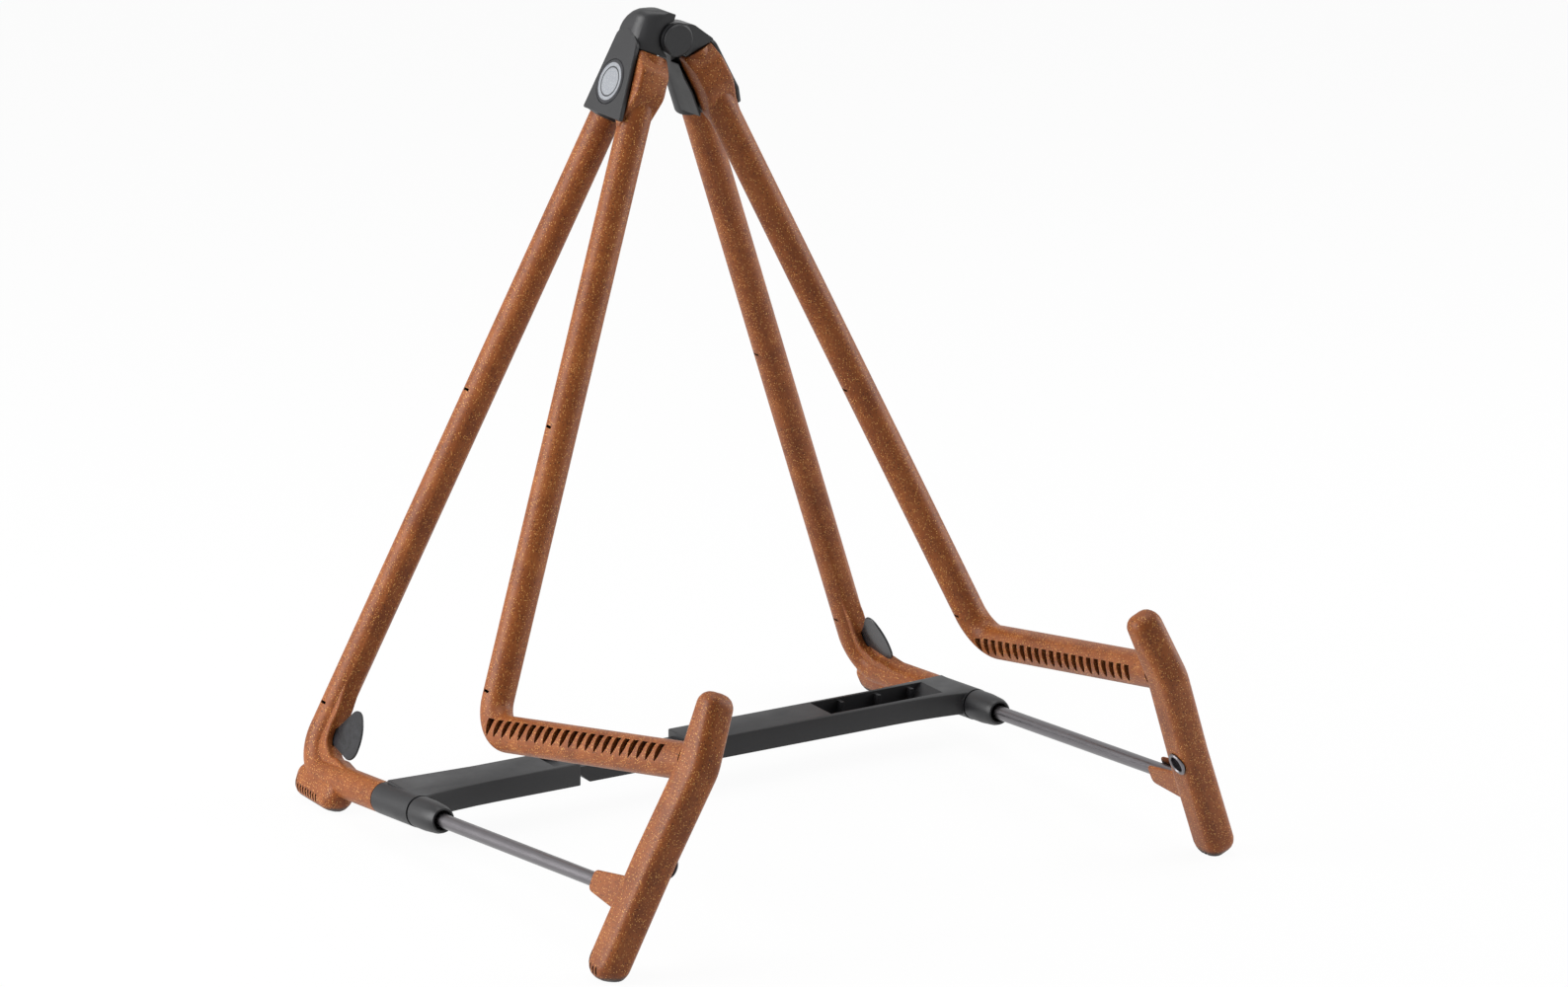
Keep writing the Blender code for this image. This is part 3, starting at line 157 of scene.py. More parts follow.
# Lines and heights that follow from the sizes above
identity = Matrix.Identity(4)
tubeR = frameTube["diameter"] / 2
rodR = slideRod["diameter"] / 2
barrelR = headUnit["barrelDiameter"] / 2
halfSpread = stance["footSpread"] / 2
sleeveR = tubeR + headUnit["sleeveWall"]
headFace = headUnit["cheekGap"] + headUnit["outerCheek"]
hingeX = halfSpread - headUnit["hingeInset"] / math.cos(stance["lean"])
hingeHeight = hingeX / math.tan(stance["lean"])
hingeS = hingeHeight * math.cos(stance["lean"]) + halfSpread * math.sin(stance["lean"])
pivotS = hingeS - headUnit["pivotDrop"]
armTop = hingeS - headUnit["armTopDrop"]
legTop = armTop - headUnit["legTopDrop"]
headShift = halfSpread * math.sin(stance["toeOut"])
sleeveFront = footJournal["sleeveRear"] + footJournal["sleeveLength"]
journalEnd = sleeveFront + footJournal["collarLength"] - footJournal["mouthDepth"]
downRear = -math.pi / 2 + frameTube["rearTilt"]
forwardFoot = -math.pi - frameTube["footRise"]
forwardArm = -math.pi - supportArm["rise"]


def rearAxis(s):
    return -math.tan(frameTube["rearTilt"]) * (s - frameTube["rearBendHeight"])


frontSlope = ((rearAxis(pivotS) - frameTube["gapAtHead"] + frameTube["frontBendForward"])
              / (pivotS - frameTube["frontBendHeight"]))
pivotY = rearAxis(pivotS) - frameTube["gapAtHead"] * headUnit["pivotShare"]


def frontAxis(s):
    return -frameTube["frontBendForward"] + frontSlope * (s - frameTube["frontBendHeight"])


def footAxis(y):
    return frameTube["rearBendHeight"] - y * math.tan(frameTube["footRise"])


def armAxis(y):
    ahead = y + frameTube["frontBendForward"]
    return frameTube["frontBendHeight"] - ahead * math.tan(supportArm["rise"])


def footLength(yFrom, yTo):
    return abs(yTo - yFrom) / math.cos(frameTube["footRise"])


def sideName(side):
    return "left" if side < 0 else "right"


# Places

# Frame of a leaning side: x away from the middle on the right, z up in the plane
def sideMatrix(side):
    place = Matrix.Translation((side * halfSpread, 0, 0))
    toed = place @ Matrix.Rotation(side * stance["toeOut"], 4, "Z")
    return toed @ Matrix.Rotation(-side * stance["lean"], 4, "Y")


# Lays a body turned about z along +y, its base at the point
def alongY(y, x, z):
    return Matrix.Translation((x, y, z)) @ Matrix.Rotation(-math.pi / 2, 4, "X")


# In a side plane: z points forwards along the foot section
def alongFoot(y):
    turn = Matrix.Rotation(math.pi / 2 - frameTube["footRise"], 4, "X")
    return Matrix.Translation((0, y, footAxis(y))) @ turn


# At a point of a side plane, z points away from the middle, or with way=-1 towards it
def acrossSide(side, y, s, way=1):
    turn = Matrix.Rotation(way * side * math.pi / 2, 4, "Y")
    return sideMatrix(side) @ Matrix.Translation((0, y, s)) @ turn


# Outlines in a plane

# Points of a closed outline whose corners (u, v, radius) are turned into arcs
def roundedOutline(corners):
    points = []
    count = len(corners)
    for i, (u, v, radius) in enumerate(corners):
        here = Vector((u, v))
        before = Vector(corners[i - 1][:2]) - here
        after = Vector(corners[(i + 1) % count][:2]) - here
        room = 0.49 * min(before.length, after.length)   # under half, so arcs never meet
        before.normalize()
        after.normalize()
        half = before.angle(after) / 2
        radius = min(radius, room * math.tan(half))
        if radius <= 0.01 * mm:
            points.append(here)
            continue
        reach = radius / math.tan(half)
        centre = here + (before + after).normalized() * radius / math.sin(half)
        start = here + before * reach - centre
        sweepAngle = math.pi - 2 * half
        turn = 1 if before.y * after.x - before.x * after.y > 0 else -1
        pieces = max(1, math.ceil(sweepAngle / fineness["cornerStep"]))
        for k in range(pieces + 1):
            angle = turn * sweepAngle * k / pieces
            points.append(centre + Vector((start.x * math.cos(angle) - start.y * math.sin(angle),
                                           start.x * math.sin(angle) + start.y * math.cos(angle))))
    return points


def counterClockwise(points):
    total = 0
    for i, p in enumerate(points):
        q = points[(i + 1) % len(points)]
        total += p.x * q.y - q.x * p.y
    return list(points) if total > 0 else list(reversed(points))


# Each point of a counter-clockwise outline moved inwards along its mitre
def insetOutline(points, distance):
    moved = []
    count = len(points)
    for i, p in enumerate(points):
        a = (p - points[i - 1]).normalized()
        b = (points[(i + 1) % count] - p).normalized()
        na = Vector((-a.y, a.x))
        nb = Vector((-b.y, b.x))
        moved.append(p + (na + nb) * distance / max(0.3, 1 + na.dot(nb)))
    return moved


# Bodies

# Closed body through rings of equal length, capped at both ends
def addStack(bm, rings):
    layers = [[bm.verts.new(p) for p in ring] for ring in rings]
    count = len(rings[0])
    for low, high in zip(layers, layers[1:]):
        for i in range(count):
            j = (i + 1) % count
            bm.faces.new((low[i], low[j], high[j], high[i]))
    bm.faces.new(list(reversed(layers[0])))
    bm.faces.new(layers[-1])


def stack(rings):
    bm = bmesh.new()
    addStack(bm, rings)
    return bm


# Rings of a plate in the side plane from x=low to x=high, its edges rounded by a quarter turn
def slabRings(outline, low, high, edge=0.0, steps=fineness["edgeSteps"]):
    points = counterClockwise([Vector(p[:2]) for p in outline])
    levels = [(0.0, 0.0)]
    if edge > 0:
        turns = [math.pi / 2 * k / steps for k in range(steps + 1)]
        levels = [(edge * (1 - math.sin(t)), edge * (1 - math.cos(t))) for t in turns]
    rings = []
    for inset, rise in levels:
        rings.append([(low + rise, p.x, p.y) for p in insetOutline(points, inset)])
    for inset, rise in reversed(levels):
        rings.append([(high - rise, p.x, p.y) for p in insetOutline(points, inset)])
    return rings


def slab(outline, low, high, edge=0.0, steps=fineness["edgeSteps"]):
    return stack(slabRings(outline, low, high, edge, steps))


# Slab of this thickness with the side plane in its middle
def plate(outline, thickness, edge=0.0, steps=fineness["edgeSteps"]):
    return slab(outline, -thickness / 2, thickness / 2, edge, steps)


# Round body through stations (y, s, direction angle, radius across, radius in the plane)
def sweep(stations):
    rings = []
    for y, s, angle, across, within in stations:
        ring = []
        for k in range(fineness["tubeSides"]):
            turn = 2 * math.pi * (k + 0.5) / fineness["tubeSides"]
            u = across * math.cos(turn)
            w = within * math.sin(turn)
            ring.append((u, y - w * math.sin(angle), s + w * math.cos(angle)))
        rings.append(ring)
    return stack(rings)


# Straight round body along the rear leg between two heights
def alongRear(radius, *heights):
    return sweep([(rearAxis(s), s, downRear, radius, radius) for s in heights])


# Stations round a bend between two directions given as angles in the (y, s) plane
def bendStations(corner, angleIn, angleOut, withinOut):
    steps = fineness["bendSteps"]
    turn = angleOut - angleIn
    side = 1 if turn > 0 else -1
    radius = frameTube["bendRadius"]
    reach = radius * math.tan(abs(turn) / 2)
    start = Vector(corner) - Vector((math.cos(angleIn), math.sin(angleIn))) * reach
    centre = start + Vector((-math.sin(angleIn), math.cos(angleIn))) * radius * side
    stations = []
    for k in range(steps + 1):
        angle = angleIn + turn * k / steps
        point = centre + Vector((math.sin(angle), -math.cos(angle))) * radius * side
        within = tubeR + (withinOut - tubeR) * k / steps
        stations.append((point.x, point.y, angle, tubeR, within))
    return stations


def turnedRing(radius, height, sides):
    ring = []
    for k in range(sides):
        turn = 2 * math.pi * k / sides
        ring.append((radius * math.cos(turn), radius * math.sin(turn), height))
    return ring


# Solid body turned about the z axis, from (radius, height) pairs along its outside
def turned(profile, sides=fineness["discSides"]):
    return stack([turnedRing(radius, height, sides) for radius, height in profile])


def cylinder(radius, low, high, sides=fineness["discSides"]):
    return turned([(radius, low), (radius, high)], sides)


# Pin from z=0 with a narrow slanting edge at both ends
def edgedPin(radius, length, edge, sides):
    return turned([(radius - edge, 0), (radius, edge), (radius, length - edge),
                   (radius - edge, length)], sides)


# Ring-shaped body turned about the z axis from a closed (radius, height) outline
def hollowTurned(profile):
    bm = bmesh.new()
    sides = fineness["discSides"]
    layers = [[bm.verts.new(p) for p in turnedRing(*pair, sides)] for pair in profile]
    for low, high in zip(layers, layers[1:] + layers[:1]):
        for i in range(sides):
            j = (i + 1) % sides
            bm.faces.new((low[i], low[j], high[j], high[i]))
    return bm


# Prism along y from an (x, z) outline
def prismY(outline, low, high):
    return stack([[(p[0], level, p[1]) for p in outline] for level in (low, high)])


# Rings of a prism along z, from an (x, y) outline
def prismRings(outline, low, high):
    return [[(p[0], p[1], level) for p in outline] for level in (low, high)]


def addBox(bm, low, high):
    outline = [(low[0], low[1]), (high[0], low[1]), (high[0], high[1]), (low[0], high[1])]
    addStack(bm, prismRings(outline, low[2], high[2]))


# Object from a mesh drawn for the right side; side -1 mirrors it across x. It stays unnamed
# until it is dressed
def makeBody(bm, matrix, side=1):
    if side < 0:
        bmesh.ops.scale(bm, vec=(-1, 1, 1), verts=bm.verts)
    bmesh.ops.recalc_face_normals(bm, faces=bm.faces)
    mesh = bpy.data.meshes.new("body")
    bm.to_mesh(mesh)
    bm.free()
    obj = bpy.data.objects.new("body", mesh)
    bpy.context.scene.collection.objects.link(obj)
    obj.matrix_world = matrix
    return obj


# Turn an object's modifiers into its mesh
def settle(obj):
    bpy.context.view_layer.update()
    shown = obj.evaluated_get(bpy.context.evaluated_depsgraph_get())
    mesh = bpy.data.meshes.new_from_object(shown)
    obj.modifiers.clear()
    obj.data = mesh


# Join a body on to an object, or cut it away, and keep only the result
def combine(obj, bm, operation, matrix, side):
    tool = makeBody(bm, matrix, side)
    modifier = obj.modifiers.new("combine", "BOOLEAN")
    modifier.operation = operation
    modifier.solver = "EXACT"
    modifier.object = tool
    settle(obj)
    bpy.data.objects.remove(tool, do_unlink=True)


def join(obj, bm, matrix, side=1):
    combine(obj, bm, "UNION", matrix, side)


def cut(obj, bm, matrix, side=1):
    combine(obj, bm, "DIFFERENCE", matrix, side)


# Details that both side tubes have

footRib = {
    "pitch": 2.5 * mm,
    "slot": 1.1 * mm,
    "depth": 0.9 * mm,
    "under": 1 * mm,   # grooves start this far below the floor
    "inset": 2 * mm,   # rounded faces of a foot are this much narrower than its width
}


# Level the feet: everything below z=0 goes
def cutFloor(obj):
    wide = stance["footSpread"]
    ground = bmesh.new()
    addBox(ground, (-wide, -2 * footBar["forward"], -footBar["top"]), (wide, wide, 0))
    cut(obj, ground, identity)


# Gauge marks: narrow slots across a tube, each as a thin box along x
def addGaugeSlots(bm, axis, base, ups):
    wide = frameTube["diameter"]
    halfWidth = frameTube["gaugeSlotWidth"] / 2
    halfHeight = frameTube["gaugeSlotHeight"] / 2
    for up in ups:
        s = base + up
        y = axis(s)
        addBox(bm, (-wide, y - halfWidth, s - halfHeight), (wide, y + halfWidth, s + halfHeight))


# Upright grooves on both faces of a foot
def addRibGrooves(bm, first, count, top, width):
    face = (width - footRib["inset"]) / 2
    for i in range(count):
        y = first - i * footRib["pitch"]
        for way in (-1, 1):
            low, high = sorted((way * (face - footRib["depth"]), way * (face + footRib["depth"])))
            addBox(bm, (low, y - footRib["slot"] / 2, -footRib["under"]),
                   (high, y + footRib["slot"] / 2, top))


# Room round the pivot for the eye of the front arm
def cutEyeRoom(obj, side):
    radius = headUnit["eyeDiameter"] / 2 + headUnit["eyePlay"]
    room = cylinder(radius, -headUnit["cheekGap"], headUnit["cheekGap"])
    cut(obj, room, acrossSide(side, pivotY, pivotS))


# Guitar picks

guitarPick = {
    "length": 30 * mm,
    "width": 26 * mm,
    "thickness": 1.0 * mm,
    "edge": 0.2 * mm,
    "play": 0.35 * mm,
    "tip": (-8.5 * mm, 28.7 * mm),
    "rise": math.radians(19.4),
    "tipR": 3.4 * mm,
    "cornerR": 6 * mm,
    "cornerAt": 0.80,   # the two corners along the length, as a share of it
    "cornerOut": 1.08,   # and across, in half widths, before they are rounded
    "backR": 24 * mm,
}


def pickOutline(grow=0.0):
    tip = Vector(guitarPick["tip"])
    along = Vector((-math.cos(guitarPick["rise"]), math.sin(guitarPick["rise"])))
    across = Vector((-along.y, along.x))
    half = guitarPick["width"] / 2
    cornerU = guitarPick["cornerAt"] * guitarPick["length"]
    cornerV = guitarPick["cornerOut"] * half
    corners = []
    for u, v, radius in ((0, 0, guitarPick["tipR"]), (cornerU, -cornerV, guitarPick["cornerR"]),
                         (guitarPick["length"], 0, guitarPick["backR"]),
                         (cornerU, cornerV, guitarPick["cornerR"])):
        point = tip + along * u + across * v
        corners.append((point.x, point.y, radius))
    points = counterClockwise(roundedOutline(corners))
    return insetOutline(points, -grow)


def pick(side):
    body = plate(pickOutline(), guitarPick["thickness"], guitarPick["edge"], 1)
    return makeBody(body, sideMatrix(side), side)


# Rear legs, each one tube from the head to the foot section's journal

rearFoot = {
    "width": 13.8 * mm,
    "length": 42 * mm,
    "edge": 5.4 * mm,
    "sole": 0.2 * mm,   # height of the drawn sole
    "heelBack": 0.3 * mm,   # heel's upper corner, behind the tube's bend
    "heelSlant": 1.5 * mm,
    "toeSlant": 5 * mm,
    "toeIn": 1 * mm,
    "upperR": 6 * mm,
    "heelR": 7 * mm,
    "toeR": 9 * mm,
    "ribFirst": 5.5 * mm,
    "ribCount": 9,
    "ribTop": 9.5 * mm,
}

# Pocket that holds the pick in the crook of the leg
pickPocket = {
    "width": 8.5 * mm,
    "edge": 1.2 * mm,
    "lip": 2 * mm,   # the pocket stands this far out of the tubes
    "sunk": 1 * mm,   # its ends start this deep in the tubes
    "endR": 2 * mm,
    "legR": 8 * mm,
    "crookR": 7 * mm,
    "top": 60 * mm,
    "legAt": (58 * mm, 44 * mm, 36 * mm),
    "crook": (-13.5 * mm, 28 * mm),
    "footAt": (-21 * mm, -27 * mm, -38 * mm),
    "front": -40 * mm,
    "inside": (-8 * mm, 17 * mm),
}


def footOutline():
    front = -rearFoot["length"]
    middle = footAxis(front)
    sole = rearFoot["sole"]
    return roundedOutline([(rearFoot["heelBack"], middle, rearFoot["upperR"]),
                           (-rearFoot["heelSlant"], sole, rearFoot["heelR"]),
                           (front + rearFoot["toeSlant"], sole, rearFoot["toeR"]),
                           (front + rearFoot["toeIn"], middle, rearFoot["upperR"])])


def pocketOutline():
    out = tubeR + pickPocket["lip"]
    endR, legR, crookR = pickPocket["endR"], pickPocket["legR"], pickPocket["crookR"]
    upper, *legAt = pickPocket["legAt"]
    *footAt, last = pickPocket["footAt"]
    corners = [(rearAxis(pickPocket["top"]), pickPocket["top"], endR),
               (rearAxis(upper) - tubeR + pickPocket["sunk"], upper, endR)]
    corners += [(rearAxis(s) - out, s, legR) for s in legAt]
    corners.append((*pickPocket["crook"], crookR))
    corners += [(y, footAxis(y) + out, crookR) for y in footAt]
    corners += [(last, footAxis(last) + tubeR - pickPocket["sunk"], endR),
                (pickPocket["front"], footAxis(pickPocket["front"]), endR),
                (*pickPocket["inside"], endR)]
    return roundedOutline(corners)


def rearLeg(side):
    plane = sideMatrix(side)
    journal = footJournal["diameter"] / 2
    stations = [(rearAxis(legTop), legTop, downRear, tubeR, tubeR)]
    stations += bendStations((0, frameTube["rearBendHeight"]), downRear, forwardFoot, tubeR)
    shoulder = -footJournal["sleeveRear"]
    for y, radius in ((shoulder, tubeR), (shoulder, journal), (-journalEnd, journal)):
        stations.append((y, footAxis(y), forwardFoot, radius, radius))
    leg = makeBody(sweep(stations), plane, side)
    join(leg, plate(footOutline(), rearFoot["width"], rearFoot["edge"]), plane, side)
    join(leg, plate(pocketOutline(), pickPocket["width"], pickPocket["edge"]), plane, side)
    slot = guitarPick["thickness"] + 2 * guitarPick["play"]
    cut(leg, plate(pickOutline(guitarPick["play"]), slot), plane, side)

    cuts = bmesh.new()
    addGaugeSlots(cuts, rearAxis, frameTube["rearBendHeight"], frameTube["rearSlotsUp"])
    addRibGrooves(cuts, -rearFoot["ribFirst"], rearFoot["ribCount"], rearFoot["ribTop"],
                  rearFoot["width"])
    cut(leg, cuts, plane, side)

    start = -slideRod["rear"] + slideRod["travel"] + slideRod["spare"]
    depth = footLength(start, -journalEnd) + footJournal["mouthDepth"]
    cut(leg, cylinder(rodR + fit, 0, depth, fineness["tubeSides"]), plane @ alongFoot(start))
    cutEyeRoom(leg, side)
    cutFloor(leg)
    return leg


# Front arms, each from the pivot in the head to the foot bar

footBar = {
    "forward": 294.0 * mm,   # centre of the bar's round top
    "top": 125.0 * mm,
    "topRadius": 6.7 * mm,
    "width": 14.5 * mm,
    "depth": 18.5 * mm,
    "edge": 5.2 * mm,
    "rearEdge": ((19.2 * mm, -0.4 * mm), (12.4 * mm, 56 * mm), (5.0 * mm, 100 * mm)),
    "rearR": 12 * mm,
    "frontR": 20 * mm,
    "heel": 8.5 * mm,   # corner radius of the bar's foot
    "armInside": 2 * mm,   # the arm ends this far behind the centre of the bar's top
    "ribFirst": 4.5 * mm,
    "ribCount": 4,
    "ribTop": 10 * mm,
}

# Lobe behind the bar that cradles the rod's front end, and the rod's way round it
rodLobe = {
    "fromBar": 37.5 * mm,   # lobe's tip behind the centre of the bar's top
    "width": 9.2 * mm,
    "root": 25.5 * mm,   # length of the lobe's upper edge
    "inBar": 3 * mm,   # the lobe ends this far behind the centre of the bar's top
    "rounding": 3 * mm,
    "above": 2,   # heights over and under the rod, in half widths of the lobe
    "rootBelow": 2.2,
    "below": 1.4,
    "lowerIn": 2 * mm,
    "lowerR": 5 * mm,
    "edge": 1 * mm,
    "wayBehind": 8 * mm,
    "wayAhead": 4 * mm,
    "wayUnderArm": 2.2 * mm,
    "waySlope": (6 * mm, 1 * mm),   # back, and down from the arm
    "wayDeep": 16 * mm,
}

# Thick end of the arm in the head
armBulb = {
    "forward": 10.0 * mm,   # its foremost line, in front of the tube's axis at the pivot
    "outside": 8.0 * mm,
    "edge": 1.9 * mm,
    "rearShare": 1.02,   # its rear edge from the leg's axis, in radii of the sleeve
    "topRearR": 2.6 * mm,
    "topFront": (9 * mm, 3 * mm),   # back from the foremost line, rounding
    # back from the foremost line, above the pivot, rounding
    "front": ((2.5 * mm, 11 * mm, 6 * mm), (0, 0, 8 * mm), (4.6 * mm, -11.5 * mm, 7 * mm)),
    "low": (21 * mm, 3 * mm),   # under the pivot, rounding
    "rearLow": (8 * mm, 5 * mm),
}


# One slot: a straight mouth under the skin, its front edge curving back to a thin tail
def addLamellaSlot(bm, distance):
    base = Vector((-frameTube["frontBendForward"], frameTube["frontBendHeight"]))
    along = Vector((-math.cos(supportArm["rise"]), math.sin(supportArm["rise"])))
    up = Vector((math.sin(supportArm["rise"]), math.cos(supportArm["rise"])))
    top = supportArm["height"] / 2 - supportArm["skin"]
    knee = top - supportArm["mouth"]
    half = supportArm["slot"] / 2
    steps = fineness["slotSteps"]
    tail = []
    for k in range(steps + 1):
        width = half * (1 - supportArm["taper"] * k * k / (steps * steps))
        tail.append((width, knee - supportArm["tail"] * k / steps))
    shape = [(half, top), (-half, top), (-half, knee - supportArm["tail"]), *reversed(tail)]
    points = [base + along * (distance + u) + up * v for u, v in shape]
    addStack(bm, slabRings(points, -frameTube["diameter"], frameTube["diameter"]))


def barOutline():
    middle = -footBar["forward"]
    corners = [(middle + y, s, footBar["rearR"]) for y, s in footBar["rearEdge"]]
    corners[0] = (*corners[0][:2], footBar["heel"])
    high = footBar["top"] + footBar["topRadius"]
    topR = footBar["topRadius"] - 0.1 * mm   # just under half the top, so its arcs don't meet
    corners.append((middle + footBar["topRadius"], high, topR))
    corners.append((middle - footBar["topRadius"], high, topR))
    for y, s in reversed(footBar["rearEdge"]):
        corners.append((middle + y - footBar["depth"], s, footBar["frontR"]))
    corners[-1] = (*corners[-1][:2], footBar["heel"])
    return roundedOutline(corners)


def lobeOutline():
    middle = -footBar["forward"]
    tip = middle + rodLobe["fromBar"]
    root = middle + rodLobe["inBar"]
    line = footAxis(tip)
    half = rodLobe["width"] / 2
    shoulder = tip - rodLobe["root"]
    return roundedOutline([(tip, line + half, rodLobe["rounding"]),
                           (shoulder, line + rodLobe["above"] * half, rodLobe["rounding"]),
                           (root, line + rodLobe["above"] * half, 0),
                           (root, line - rodLobe["rootBelow"] * half, 0),
                           (shoulder + rodLobe["lowerIn"], line - rodLobe["below"] * half,
                            rodLobe["lowerR"]),
                           (tip, line - half, rodLobe["rounding"])])


# Way of the rod's front end up the back of the bar while the arm folds
def rodWayOutline():
    behind = -footBar["forward"] + rodLobe["fromBar"] + rodLobe["wayBehind"]
    front = -slideRod["front"] - rodLobe["wayAhead"]
    low = rodR + fit
    underArm = armAxis(front) - supportArm["height"] / 2 - rodLobe["wayUnderArm"]
    back, down = rodLobe["waySlope"]
    return [(behind, footAxis(behind) - low), (front, footAxis(front) - low), (front, underArm),
            (front + back, underArm - down), (behind, underArm - rodLobe["wayDeep"])]


def bulbOutline():
    rearGap = sleeveR * armBulb["rearShare"] + 2 * fit
    middle = frontAxis(pivotS) - armBulb["forward"]
    topBack, topR = armBulb["topFront"]
    low, lowR = armBulb["low"]
    rearLow, rearLowR = armBulb["rearLow"]
    corners = [(rearAxis(armTop) - rearGap, armTop, armBulb["topRearR"]),
               (middle + topBack, armTop, topR)]
    corners += [(middle + back, pivotS + up, radius) for back, up, radius in armBulb["front"]]
    corners += [(frontAxis(pivotS - low), pivotS - low, lowR),
                (rearAxis(pivotS) - rearGap, pivotS - rearLow, rearLowR)]
    return roundedOutline(corners)


def frontArm(side):
    plane = sideMatrix(side)
    down = -math.pi / 2 - math.atan(frontSlope)
    within = supportArm["height"] / 2
    end = -footBar["forward"] + footBar["armInside"]
    start = armTop - tubeR * frontSlope
    bend = (-frameTube["frontBendForward"], frameTube["frontBendHeight"])
    stations = [(frontAxis(start), start, down, tubeR, tubeR)]
    stations += bendStations(bend, down, forwardArm, within)
    stations.append((end, armAxis(end), forwardArm, tubeR, within))
    arm = makeBody(sweep(stations), plane, side)

    # The bulb wraps the head's sleeve and carries the eye of the pivot
    join(arm, slab(bulbOutline(), -tubeR, armBulb["outside"], armBulb["edge"]), plane, side)
    hollow = alongRear(sleeveR + 2 * fit, hingeS, hingeS - headUnit["headDrop"] - 2 * sleeveR)
    cut(arm, hollow, plane, side)
    pivot = acrossSide(side, pivotY, pivotS)
    join(arm, cylinder(headUnit["eyeDiameter"] / 2, -tubeR, armBulb["outside"]), pivot)
    radius = headUnit["pivotPinDiameter"] / 2 + fit
    cut(arm, cylinder(radius, -2 * tubeR, 2 * tubeR, fineness["tubeSides"]), pivot)

    join(arm, plate(barOutline(), footBar["width"], footBar["edge"]), plane, side)
    join(arm, plate(lobeOutline(), rodLobe["width"], rodLobe["edge"]), plane, side)
    cut(arm, slab(rodWayOutline(), -rodR - fit, rodR + fit), plane, side)

    slots = bmesh.new()
    for i in range(supportArm["count"]):
        addLamellaSlot(slots, supportArm["start"] + i * supportArm["pitch"])
    addGaugeSlots(slots, frontAxis, frameTube["frontBendHeight"], frameTube["frontSlotsUp"])
    heel = -footBar["forward"] + footBar["rearEdge"][0][0] - footBar["ribFirst"]
    addRibGrooves(slots, heel, footBar["ribCount"], footBar["ribTop"], footBar["width"])
    cut(arm, slots, plane, side)

    base = footBar["width"] / 2 - screwBush["length"] - fit
    bore = cylinder(screwBush["bodyDiameter"] / 2 + fit, base, footBar["width"])
    cut(arm, bore, bushPlace(side))
    cutFloor(arm)
    return arm


# Screw bush in the inner face of the foot bar

screwBush = {
    "up": 55 * mm,
    "back": 1.9 * mm,   # behind the centre of the bar's top
    "flangeDiameter": 10.6 * mm,
    "bodyDiameter": 9.0 * mm,
    "boreDiameter": 7.4 * mm,
    "flange": 0.8 * mm,
    "flangeEdge": 0.5,   # share of the flange that stays straight
    "flangeSlant": 0.5 * mm,
    "boreSlant": 0.4 * mm,
    "length": 3.2 * mm,
    "floor": 0.8 * mm,
}


def bushPlace(side):
    y = -footBar["forward"] + screwBush["back"]
    return acrossSide(side, y, screwBush["up"], -1)


def bush(side):
    flange = screwBush["flangeDiameter"] / 2
    body = screwBush["bodyDiameter"] / 2
    bore = screwBush["boreDiameter"] / 2
    face = footBar["width"] / 2 + fit
    base = face - screwBush["length"]
    edge = face + screwBush["flangeEdge"] * screwBush["flange"]
    outer = face + screwBush["flange"]
    profile = [(body, base), (body, face), (flange, face), (flange, edge),
               (flange - screwBush["flangeSlant"], outer), (bore + screwBush["boreSlant"], outer),
               (bore, edge), (bore, base + screwBush["floor"])]
    return makeBody(turned(profile), bushPlace(side))


# Rods and the collars at the end of the foot sections

collarShape = {
    "undersize": 0.1 * mm,   # its radius under the tube's
    "rearEdge": (0.3 * mm, 0.4 * mm),   # in, and along
    "straight": 0.45,   # shares of its length where its nose starts, narrows and ends
    "narrow": 0.85,
    "noseAt": 0.94,
    "noseEdge": 0.5 * mm,
    "lipEdge": 0.4 * mm,
    "seat": (1 * mm, 0.6 * mm),   # step from the mouth to the journal's room
}


def rod(side):
    length = footLength(slideRod["rear"], slideRod["front"])
    body = edgedPin(rodR, length, slideRod["edge"], fineness["tubeSides"])
    return makeBody(body, sideMatrix(side) @ alongFoot(-slideRod["rear"]))


def collar(side):
    outer = tubeR - collarShape["undersize"]
    nose = footJournal["collarFrontDiameter"] / 2
    inner = footJournal["diameter"] / 2 + fit
    lip = rodR + footJournal["collarLip"]
    length = footJournal["collarLength"]
    edgeIn, edgeUp = collarShape["rearEdge"]
    step = collarShape["noseEdge"]
    lipEdge = collarShape["lipEdge"]
    seat = length - footJournal["mouthDepth"]
    seatLip, seatInner = collarShape["seat"]
    profile = [(inner, 0), (outer - edgeIn, 0), (outer, edgeUp),
               (outer, collarShape["straight"] * length),
               (nose + step, collarShape["narrow"] * length),
               (nose, collarShape["noseAt"] * length), (nose - step, length),
               (lip + lipEdge, length), (lip, length - lipEdge),
               (lip, seat + seatLip), (inner, seat + seatInner)]
    start = -sleeveFront - fit
    place = sideMatrix(side) @ alongFoot(start)
    return makeBody(hollowTurned(profile), place)


# Heads: two cheeks, a roof, a sleeve on the rear leg and one barrel of the hinge

# Values that differ between the two heads stand as {-1: left, 1: right}
cheek = {
    "drop": {-1: 4 * mm, 1: 8 * mm},   # upper corners under the hinge axis
    "peak": {-1: 3 * mm, 1: 2 * mm},   # how far the top arches above them
    "chamfer": {-1: 0, 1: 5 * mm},
    "chamferSlope": 1.6,
    "frontDip": 3 * mm,
    "lowR": 0.6 * mm,
    "chamferR": 3 * mm,
    "highR": 4 * mm,
    "peakR": 6 * mm,
    "edge": 0.5 * mm,
}

